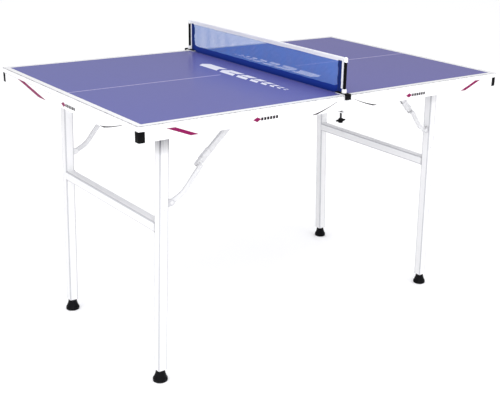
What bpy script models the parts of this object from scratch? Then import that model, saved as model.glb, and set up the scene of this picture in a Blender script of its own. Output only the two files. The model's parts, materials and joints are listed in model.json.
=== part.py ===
"""A compact table tennis table: a framed two-board top on two folding leg frames, with a clamped net.

The origin is on the floor under the middle of the top. +X runs along the length, +Y across the width
and +Z up. The two leg frames hinge under the top and fold inward, each steadied by two jointed braces.
"""
import math

import bmesh
import bpy
from mathutils import Matrix, Vector

# Driving dimensions, in metres.
TABLE_LENGTH = 1.22
TABLE_WIDTH = 0.76
TABLE_HEIGHT = 0.724
BOARD_THICKNESS = 0.013
TUBE = 0.0254
WALL = 0.0015
GAP = 0.0003

# The top's frame.
CAP = 0.016
CAP_PRONG = 0.030
RAIL_TOP = TABLE_HEIGHT - BOARD_THICKNESS - GAP
RAIL_BOTTOM = RAIL_TOP - TUBE
HALF_LENGTH = TABLE_LENGTH / 2
HALF_WIDTH = TABLE_WIDTH / 2
JOINER_LENGTH = 0.18

# The leg frames. Each stands a little splayed, and one is set aside from the other so they fold side by side.
SPLAY = math.radians(2.0)
PIVOT_X = 0.487
LEG_SPACING = 0.517
FRAME_OFFSET = {"left": -0.012, "right": 0.022}
SHEET = 0.002
PLAY = 0.0006
LEG_ABOVE_PIVOT = 0.010
PIVOT_Z = RAIL_BOTTOM - GAP - SHEET - 0.0175
LEG_REACH = PIVOT_Z / math.cos(SPLAY)
CROSS_RAIL_Z = 0.427
BRACKET_WIDTH = 0.028
FLANGE = 0.015
EAR_SHEET = 0.0015
BOLT_RADIUS = 0.004

# The feet.
FOOT_HEIGHT = 0.033
FOOT_RADIUS = 0.0195
FOOT_TOP_RADIUS = 0.0122
STEM_RADIUS = 0.004
STEM_LENGTH = 0.030

# The braces. Their lower pivots are this far down the leg from its own pivot and their upper ones this far
# inward of it. The difference of the two is the difference of the links, so that both fold flat together.
BRACE_ON_LEG = {"left": 0.174, "right": 0.130}
BRACE_ON_TOP = {"left": 0.236, "right": 0.171}
BRACE_STAND_OFF = 0.024
LINK_WIDTH = 0.012
LOWER_LAYER = (0.001, 0.007)
UPPER_LAYER = (-0.012, -0.002)
CHANNEL_DEPTH = 0.014
CHANNEL_WALL = 0.0015
CHANNEL_LIFT = 0.002     # the channel's middle stands this far above the line of its pivots
LINK_BEND = (0.315, 0.094)     # the lower link's bow, along it and across it, as shares of its length
PIN_RADIUS = 0.003
SLEEVE_LENGTH = 0.034
SLEEVE_WALL = 0.0012
SLEEVE_FROM_KNEE = 0.014

# The net and its clamps.
POST_Y = HALF_WIDTH - 0.0085
POST_RADIUS = 0.0042
POST_HEIGHT = 0.097
TAPE_HEIGHT = 0.012
SOCKET_RADIUS = 0.0065
SOCKET_HEIGHT = 0.0125
NET_HALF_WIDTH = POST_Y - SOCKET_RADIUS - 0.0006
CLAMP_WIDTH = 0.016
CLAMP_REACH = 0.036
CLAMP_SHEET = 0.0025
CLAMP_ARM_DROP = 0.048
COVER_SHEET = 0.002
COVER_DROP = 0.010
SCREW_Y = HALF_WIDTH - 0.017
CLAMP_SCREW_RADIUS = 0.003
WING_TOP_DROP = 0.064
WING_HEIGHT = 0.012
WING_SPAN = 0.032

SIDES = {"left": 1, "right": -1}
ENDS = {"front": -1, "rear": 1}


def clear_scene():
    for old in list(bpy.data.objects):
        bpy.data.objects.remove(old)


def material(name, colour, roughness, metallic=0.0):
    made = bpy.data.materials.new(name)
    made.use_nodes = True
    shader = made.node_tree.nodes["Principled BSDF"]
    shader.inputs["Base Color"].default_value = (*colour, 1.0)
    shader.inputs["Roughness"].default_value = roughness
    shader.inputs["Metallic"].default_value = metallic
    return made


def empty(name, location, turn=0.0, parent=None):
    """A joint's axis: an empty at its place, turned about Y."""
    axis = bpy.data.objects.new(name, None)
    axis.location = location
    axis.rotation_euler = (0.0, turn, 0.0)
    axis.parent = parent
    bpy.context.collection.objects.link(axis)
    return axis


def node(name, shape, finish, parent=None):
    """Turns a bmesh of closed bodies into a named object."""
    bmesh.ops.recalc_face_normals(shape, faces=shape.faces)
    mesh = bpy.data.meshes.new(name)
    shape.to_mesh(mesh)
    shape.free()
    mesh.materials.append(finish)
    mesh.shade_smooth()
    mesh.set_sharp_from_angle(angle=math.radians(35))
    made = bpy.data.objects.new(name, mesh)
    made.parent = parent
    bpy.context.collection.objects.link(made)
    return made


def box(shape, low, high):
    middle = [(a + b) / 2 for a, b in zip(low, high)]
    size = [b - a for a, b in zip(low, high)]
    matrix = Matrix.Translation(middle) @ Matrix.Diagonal((*size, 1.0))
    bmesh.ops.create_cube(shape, size=1.0, matrix=matrix)


def tube(shape, low, high, axis, wall=WALL):
    """A square tube along one axis, open at both ends."""
    across = [i for i in range(3) if i != axis]
    loops = []
    for inset in (0.0, wall):
        for end in (low[axis], high[axis]):
            loop = []
            for b, c in ((0, 0), (1, 0), (1, 1), (0, 1)):
                point = [0.0, 0.0, 0.0]
                point[axis] = end
                point[across[0]] = (low, high)[b][across[0]] + (inset, -inset)[b]
                point[across[1]] = (low, high)[c][across[1]] + (inset, -inset)[c]
                loop.append(shape.verts.new(point))
            loops.append(loop)
    outer_low, outer_high, inner_low, inner_high = loops
    for one, other in (
        (outer_low, outer_high),
        (inner_low, inner_high),
        (outer_low, inner_low),
        (outer_high, inner_high),
    ):
        for i in range(4):
            j = (i + 1) % 4
            shape.faces.new((one[i], one[j], other[j], other[i]))


def prism(shape, outline, axis, low, high):
    """An outline of points in the two other axes, drawn out from low to high along an axis."""
    across = [i for i in range(3) if i != axis]
    rings = []
    for end in (low, high):
        ring = []
        for point in outline:
            place = [0.0, 0.0, 0.0]
            place[axis] = end
            place[across[0]], place[across[1]] = point
            ring.append(shape.verts.new(place))
        rings.append(ring)
    shape.faces.new(rings[0])
    shape.faces.new(rings[1])
    count = len(outline)
    for i in range(count):
        j = (i + 1) % count
        shape.faces.new((rings[0][i], rings[0][j], rings[1][j], rings[1][i]))


def lathe(shape, profile, centre, axis="Z", steps=16, closed=False):
    """Turns a profile of (radius, height) about an axis through centre; a closed one leaves a bore."""
    turn = {"Z": Matrix.Identity(4), "Y": Matrix.Rotation(-math.pi / 2, 4, "X")}[axis]
    matrix = Matrix.Translation(centre) @ turn
    rings = []
    for radius, height in profile:
        ring = []
        for i in range(steps):
            angle = 2 * math.pi * i / steps
            point = Vector((radius * math.cos(angle), radius * math.sin(angle), height))
            ring.append(shape.verts.new(matrix @ point))
        rings.append(ring)
    pairs = list(zip(rings, rings[1:]))
    if closed:
        pairs.append((rings[-1], rings[0]))
    else:
        shape.faces.new(rings[0])
        shape.faces.new(rings[-1])
    for one, other in pairs:
        for i in range(steps):
            j = (i + 1) % steps
            shape.faces.new((one[i], one[j], other[j], other[i]))
    return rings


def arc(centre, radius, start, end, steps):
    """Points on an arc, with angles in degrees."""
    points = []
    for i in range(steps + 1):
        angle = math.radians(start + (end - start) * i / steps)
        points.append((centre[0] + radius * math.cos(angle), centre[1] + radius * math.sin(angle)))
    return points


def drill(target, holes, steps=12):
    """Cuts round holes, each given as (centre, axis, radius, length), through an object."""
    shape = bmesh.new()
    for centre, axis, radius, length in holes:
        lathe(shape, [(radius, -length / 2), (radius, length / 2)], centre, axis, steps)
    combine(target, shape, "DIFFERENCE", "holes")


def combine(target, shape, operation, what):
    """Joins a shape to an object, or takes it away, in the object's own coordinates."""
    bmesh.ops.recalc_face_normals(shape, faces=shape.faces)
    mesh = bpy.data.meshes.new(target.name + "_" + what)
    shape.to_mesh(mesh)
    shape.free()
    cutter = bpy.data.objects.new(mesh.name, mesh)
    cutter.parent = target
    cutter.hide_render = True
    cutter.display_type = "WIRE"
    bpy.context.collection.objects.link(cutter)
    modifier = target.modifiers.new(what, "BOOLEAN")
    modifier.operation = operation
    modifier.object = cutter


def leg_y(side, end):
    return FRAME_OFFSET[side] + ENDS[end] * LEG_SPACING / 2


# --- The top ---------------------------------------------------------------------------------------


def boards(finish):
    for side, inward in SIDES.items():
        shape = bmesh.new()
        outer = -inward * HALF_LENGTH
        inner = -inward * GAP / 2
        low = (min(outer, inner), -HALF_WIDTH, TABLE_HEIGHT - BOARD_THICKNESS)
        high = (max(outer, inner), HALF_WIDTH, TABLE_HEIGHT)
        box(shape, low, high)
        node("board_" + side, shape, finish)


def mitre_cutter(shape, inward, outward, along_x):
    """Takes the corner square and the far half of the mitre off the end of a rail."""
    clear = CAP + GAP
    beyond = TUBE + 0.015
    half_gap = GAP / 2
    outline = [
        (-0.01, -0.01),
        (clear, -0.01),
        (clear, clear - half_gap),
        (beyond, beyond - half_gap),
        (-0.01, beyond - half_gap),
    ]
    points = []
    for a, b in outline:
        x, y = (a, b) if along_x else (b, a)
        points.append((-inward * (HALF_LENGTH - x), outward * (HALF_WIDTH - y)))
    prism(shape, points, 2, RAIL_BOTTOM - 0.01, RAIL_TOP + 0.005)


def long_rails(finish):
    for end, outward in ENDS.items():
        for side, inward in SIDES.items():
            outer_y = outward * HALF_WIDTH
            inner_y = outward * (HALF_WIDTH - TUBE)
            outer_x = -inward * HALF_LENGTH
            inner_x = -inward * GAP / 2
            low = (min(outer_x, inner_x), min(outer_y, inner_y), RAIL_BOTTOM)
            high = (max(outer_x, inner_x), max(outer_y, inner_y), RAIL_TOP)
            shape = bmesh.new()
            tube(shape, low, high, axis=0)
            rail = node("rail_%s_%s" % (end, side), shape, finish)
            cutter = bmesh.new()
            mitre_cutter(cutter, inward, outward, along_x=True)
            combine(rail, cutter, "DIFFERENCE", "mitre")


def end_rails(finish):
    for side, inward in SIDES.items():
        outer_x = -inward * HALF_LENGTH
        inner_x = -inward * (HALF_LENGTH - TUBE)
        low = (min(outer_x, inner_x), -HALF_WIDTH, RAIL_BOTTOM)
        high = (max(outer_x, inner_x), HALF_WIDTH, RAIL_TOP)
        shape = bmesh.new()
        tube(shape, low, high, axis=1)
        rail = node("rail_end_" + side, shape, finish)
        cutter = bmesh.new()
        for outward in ENDS.values():
            mitre_cutter(cutter, inward, outward, along_x=False)
        combine(rail, cutter, "DIFFERENCE", "mitre")


def corner_box(shape, inward, outward, start, stop, inset):
    """A box between two places, each its distances in from a corner, an inset short of the rails' height."""
    xs = sorted(-inward * (HALF_LENGTH - place) for place in (start[0], stop[0]))
    ys = sorted(outward * (HALF_WIDTH - place) for place in (start[1], stop[1]))
    box(shape, (xs[0], ys[0], RAIL_BOTTOM + inset), (xs[1], ys[1], RAIL_TOP - inset))


def corner_caps(finish):
    """At each corner a block, with one prong into the long rail and one into the end rail."""
    inset = WALL + GAP
    start = (CAP / 2, inset)
    stop = (CAP_PRONG, CAP - inset)
    for side, inward in SIDES.items():
        for end, outward in ENDS.items():
            shape = bmesh.new()
            corner_box(shape, inward, outward, (0, 0), (CAP, CAP), 0)
            cap = node("corner_cap_%s_%s" % (side, end), shape, finish)
            shape = bmesh.new()
            corner_box(shape, inward, outward, start, stop, inset)
            combine(cap, shape, "UNION", "prong_x")
            shape = bmesh.new()
            corner_box(shape, inward, outward, start[::-1], stop[::-1], inset)
            combine(cap, shape, "UNION", "prong_y")


def rail_joiners(finish):
    """Square inserts that splice the two halves of each long rail."""
    inset = WALL + GAP
    for end, outward in ENDS.items():
        outer = outward * (HALF_WIDTH - inset)
        inner = outward * (HALF_WIDTH - TUBE + inset)
        low = (-JOINER_LENGTH / 2, min(outer, inner), RAIL_BOTTOM + inset)
        high = (JOINER_LENGTH / 2, max(outer, inner), RAIL_TOP - inset)
        shape = bmesh.new()
        tube(shape, low, high, axis=0)
        node("rail_joiner_" + end, shape, finish)


def hat_outline(left, right, top, bottom):
    """A sheet with flanges and two tabs bent down, seen along it, with the tabs' inner faces given."""
    seat = top - SHEET
    return [
        (left - FLANGE, top),
        (right + FLANGE, top),
        (right + FLANGE, seat),
        (right + SHEET, seat),
        (right + SHEET, bottom),
        (right, bottom),
        (right, seat),
        (left, seat),
        (left, bottom),
        (left - SHEET, bottom),
        (left - SHEET, seat),
        (left - FLANGE, seat),
    ]


def cross_tubes(finish):
    """The tubes that the leg frames hang from, each with two hinge brackets welded on."""
    half = TUBE / 2
    cheek = half + PLAY
    for side, inward in SIDES.items():
        x = -inward * PIVOT_X
        reach = HALF_WIDTH - TUBE - GAP
        shape = bmesh.new()
        tube(shape, (x - half, -reach, RAIL_BOTTOM), (x + half, reach, RAIL_TOP), axis=1)
        made = node("cross_tube_" + side, shape, finish)
        for end in ENDS:
            y = leg_y(side, end)
            outline = hat_outline(y - cheek, y + cheek, RAIL_BOTTOM, PIVOT_Z - 0.011)
            shape = bmesh.new()
            prism(shape, outline, 0, x - BRACKET_WIDTH / 2, x + BRACKET_WIDTH / 2)
            combine(made, shape, "UNION", "bracket_" + end)
        holes = [((x, leg_y(side, end), PIVOT_Z), "Y", BOLT_RADIUS + GAP, 0.05) for end in ENDS]
        drill(made, holes)


def leg_bolts(finish):
    """A bolt with its nut through each leg bracket."""
    reach = TUBE / 2 + PLAY + SHEET + GAP
    profile = [
        (0.0062, -reach - 0.004),
        (0.0068, -reach),
        (BOLT_RADIUS, -reach),
        (BOLT_RADIUS, reach),
        (0.0066, reach),
        (0.0066, reach + 0.005),
        (BOLT_RADIUS - 0.0005, reach + 0.005),
        (BOLT_RADIUS - 0.0005, reach + 0.007),
    ]
    for side, inward in SIDES.items():
        for end in ENDS:
            shape = bmesh.new()
            lathe(shape, profile, (-inward * PIVOT_X, leg_y(side, end), PIVOT_Z), "Y", steps=12)
            node("leg_bolt_%s_%s" % (side, end), shape, finish)


def rivet(low, high, centre):
    """A rivet along Y whose grip runs from low to high, with a low head at each end."""
    shape = bmesh.new()
    profile = [
        (0.0033, low - 0.0020),
        (0.0055, low - 0.0007),
        (0.0055, low + 0.0003),
        (PIN_RADIUS, low + 0.0003),
        (PIN_RADIUS, high - 0.0003),
        (0.0055, high - 0.0003),
        (0.0055, high + 0.0007),
        (0.0033, high + 0.0020),
    ]
    lathe(shape, profile, centre, "Y", steps=12)
    return shape


def brace_brackets(finish):
    """Under the board, a bracket with a cheek on each side of each upper brace, and its rivet."""
    z = PIVOT_Z + BRACE_STAND_OFF
    for side, inward in SIDES.items():
        x = inward * (BRACE_ON_TOP[side] - PIVOT_X)
        for end, outward in ENDS.items():
            y = leg_y(side, end)
            edges = (UPPER_LAYER[0] - PLAY, UPPER_LAYER[1] + PLAY)
            left, right = sorted(y + outward * edge for edge in edges)
            shape = bmesh.new()
            prism(shape, hat_outline(left, right, RAIL_TOP, z - 0.009), 0, x - 0.012, x + 0.012)
            bracket = node("brace_bracket_%s_%s" % (side, end), shape, finish)
            pin = rivet(left - SHEET, right + SHEET, (x, 0, z))
            combine(bracket, pin, "UNION", "rivet")


# --- The leg frames --------------------------------------------------------------------------------


def cross_rail_local():
    return -(PIVOT_Z - CROSS_RAIL_Z) / math.cos(SPLAY)


def leg(side, end, inward, axis, finish):
    """A leg with the welded bracket and rivet that its lower brace turns on."""
    outward = ENDS[end]
    y = leg_y(side, end)
    half = TUBE / 2
    low = (-half, y - half, -LEG_REACH + FOOT_HEIGHT)
    high = (half, y + half, LEG_ABOVE_PIVOT)
    shape = bmesh.new()
    tube(shape, low, high, axis=2)
    made = node("leg_%s_%s" % (side, end), shape, finish, axis)
    drill(made, [((0, y, 0), "Y", BOLT_RADIUS + GAP, 0.04)])

    inner = LOWER_LAYER[0] - PLAY
    outer = LOWER_LAYER[1] + PLAY
    base = half - WALL / 2
    tip = BRACE_STAND_OFF + 0.0075
    outline = [
        (base, inner - EAR_SHEET),
        (tip, inner - EAR_SHEET),
        (tip, inner),
        (half + SHEET, inner),
        (half + SHEET, outer),
        (tip, outer),
        (tip, outer + SHEET),
        (base, outer + SHEET),
    ]
    points = [(inward * a, y + outward * b) for a, b in outline]
    height = -BRACE_ON_LEG[side]
    shape = bmesh.new()
    prism(shape, points, 2, height - 0.010, height + 0.010)
    combine(made, shape, "UNION", "ears")
    shape = bmesh.new()
    place = (inward * BRACE_STAND_OFF, y, height)
    profile = [
        (PIN_RADIUS, inner - EAR_SHEET / 2),
        (PIN_RADIUS, outer + SHEET - GAP),
        (0.0055, outer + SHEET - GAP),
        (0.0055, outer + SHEET + 0.0007),
        (0.0033, outer + SHEET + 0.0020),
    ]
    lathe(shape, [(radius, outward * height) for radius, height in profile], place, "Y", steps=12)
    combine(made, shape, "UNION", "rivet")


def cross_rail(side, axis, finish):
    half = TUBE / 2
    reach = LEG_SPACING / 2 - half - GAP
    middle = FRAME_OFFSET[side]
    z = cross_rail_local()
    shape = bmesh.new()
    tube(shape, (-half, middle - reach, z - half), (half, middle + reach, z + half), axis=1)
    node("cross_rail_" + side, shape, finish, axis)


def foot(side, end, inward, axis, finish):
    """A bell-shaped levelling foot on a stem; its sole lies flat on the floor."""
    flare = FOOT_RADIUS - FOOT_TOP_RADIUS
    profile = [(FOOT_RADIUS - 0.0012, 0.0), (FOOT_RADIUS, 0.0025), (FOOT_RADIUS, 0.008)]
    bell = 5
    for i in range(1, bell + 1):
        t = i / bell
        radius = FOOT_TOP_RADIUS + flare * (1 - t) ** 1.8
        profile.append((radius, 0.008 + (FOOT_HEIGHT - 0.008 - GAP) * t))
    profile += [(STEM_RADIUS, FOOT_HEIGHT - GAP), (STEM_RADIUS, FOOT_HEIGHT + STEM_LENGTH)]
    shape = bmesh.new()
    centre = (0, leg_y(side, end), -LEG_REACH)
    rings = lathe(shape, profile, centre, steps=20)
    for vert in rings[0]:
        vert.co.z += inward * vert.co.x * math.tan(SPLAY)
    node("foot_%s_%s" % (side, end), shape, finish, axis)


# --- The braces ------------------------------------------------------------------------------------


def brace_geometry(side):
    """The lower pivot's place, the links' lengths and their slope, straight when the legs stand."""
    down = BRACE_ON_LEG[side]
    on_leg = (
        -down * math.sin(SPLAY) + BRACE_STAND_OFF * math.cos(SPLAY),
        -down * math.cos(SPLAY) - BRACE_STAND_OFF * math.sin(SPLAY),
    )
    run = BRACE_ON_TOP[side] - on_leg[0]
    rise = BRACE_STAND_OFF - on_leg[1]
    together = math.hypot(run, rise)
    difference = BRACE_ON_TOP[side] - down
    lower = (together - difference) / 2
    upper = (together + difference) / 2
    return on_leg, lower, upper, math.atan2(rise, run)


def lower_link_outline(length):
    """A flat bar bowed away from the leg's top, with round ends."""
    along, bow = (share * length for share in LINK_BEND)
    half = LINK_WIDTH / 2
    first = math.atan2(-bow, along)
    second = math.atan2(bow, length - along)
    middle = (first + second) / 2
    points = arc((0, 0), half, math.degrees(first) + 90, math.degrees(first) + 270, 8)
    points.append((along + half * math.sin(middle), -bow - half * math.cos(middle)))
    points += arc((length, 0), half, math.degrees(second) - 90, math.degrees(second) + 90, 8)
    points.append((along - half * math.sin(middle), -bow + half * math.cos(middle)))
    return points


def lower_brace(side, end, inward, axis, length, finish):
    outward = ENDS[end]
    y = leg_y(side, end)
    faces = sorted(y + outward * edge for edge in LOWER_LAYER)
    outline = [(inward * a, b) for a, b in lower_link_outline(length)]
    shape = bmesh.new()
    prism(shape, outline, 1, faces[0], faces[1])
    link = node("lower_brace_%s_%s" % (side, end), shape, finish, axis)
    middle = sum(faces) / 2
    holes = [((inward * place, middle, 0), "Y", PIN_RADIUS + GAP, 0.02) for place in (0, length)]
    drill(link, holes)


def channel_outline(outward, y):
    """The upper link's section: a channel open downward, as (y, z) points."""
    near, far = UPPER_LAYER
    low = CHANNEL_LIFT - CHANNEL_DEPTH / 2
    high = CHANNEL_LIFT + CHANNEL_DEPTH / 2
    wall = CHANNEL_WALL
    section = [
        (near, low),
        (near + wall, low),
        (near + wall, high - wall),
        (far - wall, high - wall),
        (far - wall, low),
        (far, low),
        (far, high),
        (near, high),
    ]
    return [(y + outward * a, b) for a, b in section]


def knee_cutter(inward, y, length):
    """What rounds off the channel's lower corner about the knee, so that it clears the leg."""
    radius = CHANNEL_DEPTH / 2 - CHANNEL_LIFT
    outline = arc((length, 0), radius, 270, 360, 6)
    outline += [(length + 2 * radius, 0), (length + 2 * radius, -2 * radius), (length, -2 * radius)]
    shape = bmesh.new()
    prism(shape, [(-inward * a, b) for a, b in outline], 1, y - TUBE, y + TUBE)
    return shape


def upper_brace(side, end, inward, axis, length, finish):
    outward = ENDS[end]
    y = leg_y(side, end)
    shape = bmesh.new()
    knee_end = length + CHANNEL_DEPTH / 2 - CHANNEL_LIFT
    ends = sorted((inward * CHANNEL_DEPTH / 2, -inward * knee_end))
    prism(shape, channel_outline(outward, y), 0, ends[0], ends[1])
    link = node("upper_brace_%s_%s" % (side, end), shape, finish, axis)
    combine(link, knee_cutter(inward, y, length), "DIFFERENCE", "knee")
    middle = y + outward * sum(UPPER_LAYER) / 2
    holes = [((-inward * place, middle, 0), "Y", PIN_RADIUS + GAP, 0.02) for place in (0, length)]
    drill(link, holes)


def lock_sleeve(side, end, inward, axis, length, finish):
    """A thin sleeve that slides on the upper link, resting next to the knee."""
    outward = ENDS[end]
    y = leg_y(side, end)
    margin = SLEEVE_WALL + GAP
    faces = sorted(y + outward * (edge + grow) for edge, grow in zip(UPPER_LAYER, (-margin, margin)))
    half = CHANNEL_DEPTH / 2 + margin
    low = CHANNEL_LIFT - half
    high = CHANNEL_LIFT + half
    start = length - SLEEVE_FROM_KNEE
    ends = sorted((-inward * start, -inward * (start - SLEEVE_LENGTH)))
    shape = bmesh.new()
    tube(shape, (ends[0], faces[0], low), (ends[1], faces[1], high), 0, SLEEVE_WALL)
    node("lock_sleeve_%s_%s" % (side, end), shape, finish, axis)


# --- The net ---------------------------------------------------------------------------------------


def mirror_y(points, outward):
    return [(outward * y, z) for y, z in points]


def clamp(end, outward, white, black):
    """A C-shaped bracket round the board and rail, and the plastic cover over its top arm."""
    edge = HALF_WIDTH + GAP
    inner = HALF_WIDTH - CLAMP_REACH
    top = TABLE_HEIGHT + GAP
    arm = TABLE_HEIGHT - CLAMP_ARM_DROP
    bracket_top = top + CLAMP_SHEET
    outline = [
        (inner + 0.002, top),
        (edge, top),
        (edge, arm + CLAMP_SHEET),
        (inner + 0.002, arm + CLAMP_SHEET),
        (inner + 0.002, arm),
        (edge + CLAMP_SHEET, arm),
        (edge + CLAMP_SHEET, bracket_top),
        (inner + 0.002, bracket_top),
    ]
    shape = bmesh.new()
    half = CLAMP_WIDTH / 2 - 0.001
    prism(shape, mirror_y(outline, outward), 0, -half, half)
    bracket = node("clamp_bracket_" + end, shape, white)
    hole = (0, outward * SCREW_Y, arm + CLAMP_SHEET / 2)
    drill(bracket, [(hole, "Z", CLAMP_SCREW_RADIUS + GAP, 0.01)], steps=16)
    shape = bmesh.new()
    bore = POST_RADIUS + GAP
    socket_top = bracket_top + SOCKET_HEIGHT
    socket = [
        (bore, bracket_top - CLAMP_SHEET / 2),
        (SOCKET_RADIUS, bracket_top - CLAMP_SHEET / 2),
        (SOCKET_RADIUS, socket_top - 0.004),
        (SOCKET_RADIUS - 0.0012, socket_top),
        (bore, socket_top),
    ]
    lathe(shape, socket, (0, outward * POST_Y, 0), steps=16, closed=True)
    combine(bracket, shape, "UNION", "socket")

    cover_in = bracket_top + GAP
    cover_out = edge + CLAMP_SHEET + GAP
    outline = [
        (inner, cover_in),
        (cover_out, cover_in),
        (cover_out, TABLE_HEIGHT - COVER_DROP + cover_in - bracket_top),
        (cover_out + 0.008, TABLE_HEIGHT - COVER_DROP),
        (cover_out + 0.008, cover_in - 0.002),
        (cover_out + 0.005, cover_in + COVER_SHEET),
        (inner, cover_in + COVER_SHEET),
    ]
    shape = bmesh.new()
    prism(shape, mirror_y(outline, outward), 0, -CLAMP_WIDTH / 2, CLAMP_WIDTH / 2)
    cover = node("clamp_cover_" + end, shape, black)
    hole = (0, outward * POST_Y, cover_in)
    drill(cover, [(hole, "Z", SOCKET_RADIUS + GAP, 0.008)], steps=16)


def net_post(end, outward, finish):
    low = TABLE_HEIGHT + GAP + CLAMP_SHEET + GAP
    high = TABLE_HEIGHT + POST_HEIGHT - 0.002
    shape = bmesh.new()
    lathe(shape, [(POST_RADIUS, low), (POST_RADIUS, high)], (0, outward * POST_Y, 0), steps=16)
    node("net_post_" + end, shape, finish)


def post_cap(end, outward, finish):
    bore = POST_RADIUS + GAP
    top = TABLE_HEIGHT + POST_HEIGHT
    cap = [
        (bore, top - TAPE_HEIGHT),
        (bore + 0.0014, top - TAPE_HEIGHT),
        (bore + 0.0014, top - 0.0015),
        (bore - 0.001, top + 0.0006),
        (0.0008, top + 0.001),
        (0.0008, top - 0.002 + GAP),
        (bore, top - 0.002 + GAP),
    ]
    shape = bmesh.new()
    lathe(shape, cap, (0, outward * POST_Y, 0), steps=16, closed=True)
    node("post_cap_" + end, shape, finish)


def net(mesh_finish, tape_finish):
    """The net's mesh, notched over the clamps' covers, and the tape along its top."""
    low = TABLE_HEIGHT + 0.001
    over_cover = TABLE_HEIGHT + 0.0065
    high = TABLE_HEIGHT + POST_HEIGHT - TAPE_HEIGHT - GAP
    notch = HALF_WIDTH - CLAMP_REACH - 0.002
    right_half = [(notch, low), (notch, over_cover), (NET_HALF_WIDTH, over_cover), (NET_HALF_WIDTH, high)]
    left_half = [(-y, z) for y, z in reversed(right_half)]
    shape = bmesh.new()
    prism(shape, right_half + left_half, 0, -0.001, 0.001)
    node("net_mesh", shape, mesh_finish)

    shape = bmesh.new()
    reach = NET_HALF_WIDTH - 0.001
    top = TABLE_HEIGHT + POST_HEIGHT
    box(shape, (-0.002, -reach, top - TAPE_HEIGHT), (0.002, reach, top))
    node("net_tape", shape, tape_finish)


def clamp_screw(end, outward, white, black):
    """The pressure pad, and under it the screw with its wing grip."""
    y = outward * SCREW_Y
    pad_top = RAIL_BOTTOM - GAP
    pad_bottom = pad_top - 0.0028
    axis = empty("clamp_axis_" + end, (0, y, 0))
    shape = bmesh.new()
    pad = [(0.0070, pad_bottom), (0.0075, pad_bottom + 0.0008), (0.0075, pad_top)]
    lathe(shape, pad, (0, 0, 0), steps=16)
    node("clamp_pad_" + end, shape, white, axis)

    wing_top = TABLE_HEIGHT - WING_TOP_DROP
    wing_bottom = wing_top - WING_HEIGHT
    half = WING_SPAN / 2
    outline = [
        (-half, wing_bottom + 0.0045),
        (-0.0075, wing_bottom),
        (0.0075, wing_bottom),
        (half, wing_bottom + 0.0045),
        (half, wing_bottom + 0.0075),
        (0.0065, wing_top),
        (-0.0065, wing_top),
        (-half, wing_bottom + 0.0075),
    ]
    shape = bmesh.new()
    prism(shape, outline, 1, -0.0035, 0.0035)
    made = node("clamp_screw_" + end, shape, black, axis)
    shape = bmesh.new()
    lathe(shape, [(CLAMP_SCREW_RADIUS, wing_top - 0.003), (CLAMP_SCREW_RADIUS, pad_bottom - GAP)], (0, 0, 0))
    combine(made, shape, "UNION", "shank")


# --- The whole table -------------------------------------------------------------------------------


def build():
    clear_scene()
    blue = material("playing_surface", (0.20, 0.20, 0.47), 0.35)
    white_paint = material("white_paint", (0.88, 0.88, 0.88), 0.35)
    black_plastic = material("black_plastic", (0.02, 0.02, 0.022), 0.45)
    zinc = material("zinc_steel", (0.60, 0.60, 0.62), 0.35, 1.0)
    black_steel = material("black_steel", (0.03, 0.03, 0.035), 0.4, 0.6)
    net_blue = material("net_blue", (0.02, 0.12, 0.45), 0.8)
    white_tape = material("white_tape", (0.9, 0.9, 0.9), 0.85)
    white_plastic = material("white_plastic", (0.88, 0.88, 0.88), 0.45)

    boards(blue)
    long_rails(white_paint)
    end_rails(white_paint)
    corner_caps(black_plastic)
    rail_joiners(zinc)
    cross_tubes(white_paint)
    leg_bolts(zinc)
    brace_brackets(white_paint)

    for side, inward in SIDES.items():
        on_leg, lower, upper, slope = brace_geometry(side)
        fold = empty("fold_axis_" + side, (-inward * PIVOT_X, 0, PIVOT_Z), inward * SPLAY)
        pivot_x = inward * (on_leg[0] - PIVOT_X)
        low_axis = empty("lower_brace_axis_" + side, (pivot_x, 0, PIVOT_Z + on_leg[1]), -inward * slope)
        top_x = inward * (BRACE_ON_TOP[side] - PIVOT_X)
        top_axis = empty(
            "upper_brace_axis_" + side, (top_x, 0, PIVOT_Z + BRACE_STAND_OFF), -inward * slope
        )
        cross_rail(side, fold, white_paint)
        for end in ENDS:
            leg(side, end, inward, fold, white_paint)
            foot(side, end, inward, fold, black_plastic)
            lower_brace(side, end, inward, low_axis, lower, white_paint)
            upper_brace(side, end, inward, top_axis, upper, white_paint)
            lock_sleeve(side, end, inward, top_axis, upper, white_paint)

    net(net_blue, white_tape)
    for end, outward in ENDS.items():
        clamp(end, outward, white_paint, black_plastic)
        net_post(end, outward, black_steel)
        post_cap(end, outward, white_plastic)
        clamp_screw(end, outward, white_plastic, black_plastic)


build()
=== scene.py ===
"""The looks of the compact table tennis table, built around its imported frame."""
import json
import math
from functools import partialmethod

import bmesh
import bpy
from mathutils import Matrix, Vector


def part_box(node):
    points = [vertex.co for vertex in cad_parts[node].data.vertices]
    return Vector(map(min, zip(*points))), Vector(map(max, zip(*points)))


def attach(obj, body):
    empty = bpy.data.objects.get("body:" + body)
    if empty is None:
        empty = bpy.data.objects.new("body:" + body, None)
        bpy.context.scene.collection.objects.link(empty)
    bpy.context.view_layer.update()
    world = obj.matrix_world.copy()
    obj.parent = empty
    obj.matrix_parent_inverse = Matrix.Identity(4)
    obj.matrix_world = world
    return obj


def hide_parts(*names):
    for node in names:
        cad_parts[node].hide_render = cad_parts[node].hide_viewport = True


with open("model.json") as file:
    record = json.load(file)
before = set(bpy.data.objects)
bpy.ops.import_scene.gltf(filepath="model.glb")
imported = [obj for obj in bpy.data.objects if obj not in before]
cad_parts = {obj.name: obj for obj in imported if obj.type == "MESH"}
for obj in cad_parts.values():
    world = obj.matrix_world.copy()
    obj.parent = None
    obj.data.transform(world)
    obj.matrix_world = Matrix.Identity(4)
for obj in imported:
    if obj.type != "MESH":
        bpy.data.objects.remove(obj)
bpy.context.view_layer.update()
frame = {"nodes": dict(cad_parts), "record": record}

SIDES = {"left": 1, "right": -1}  # and which way along X leads inward
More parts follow.
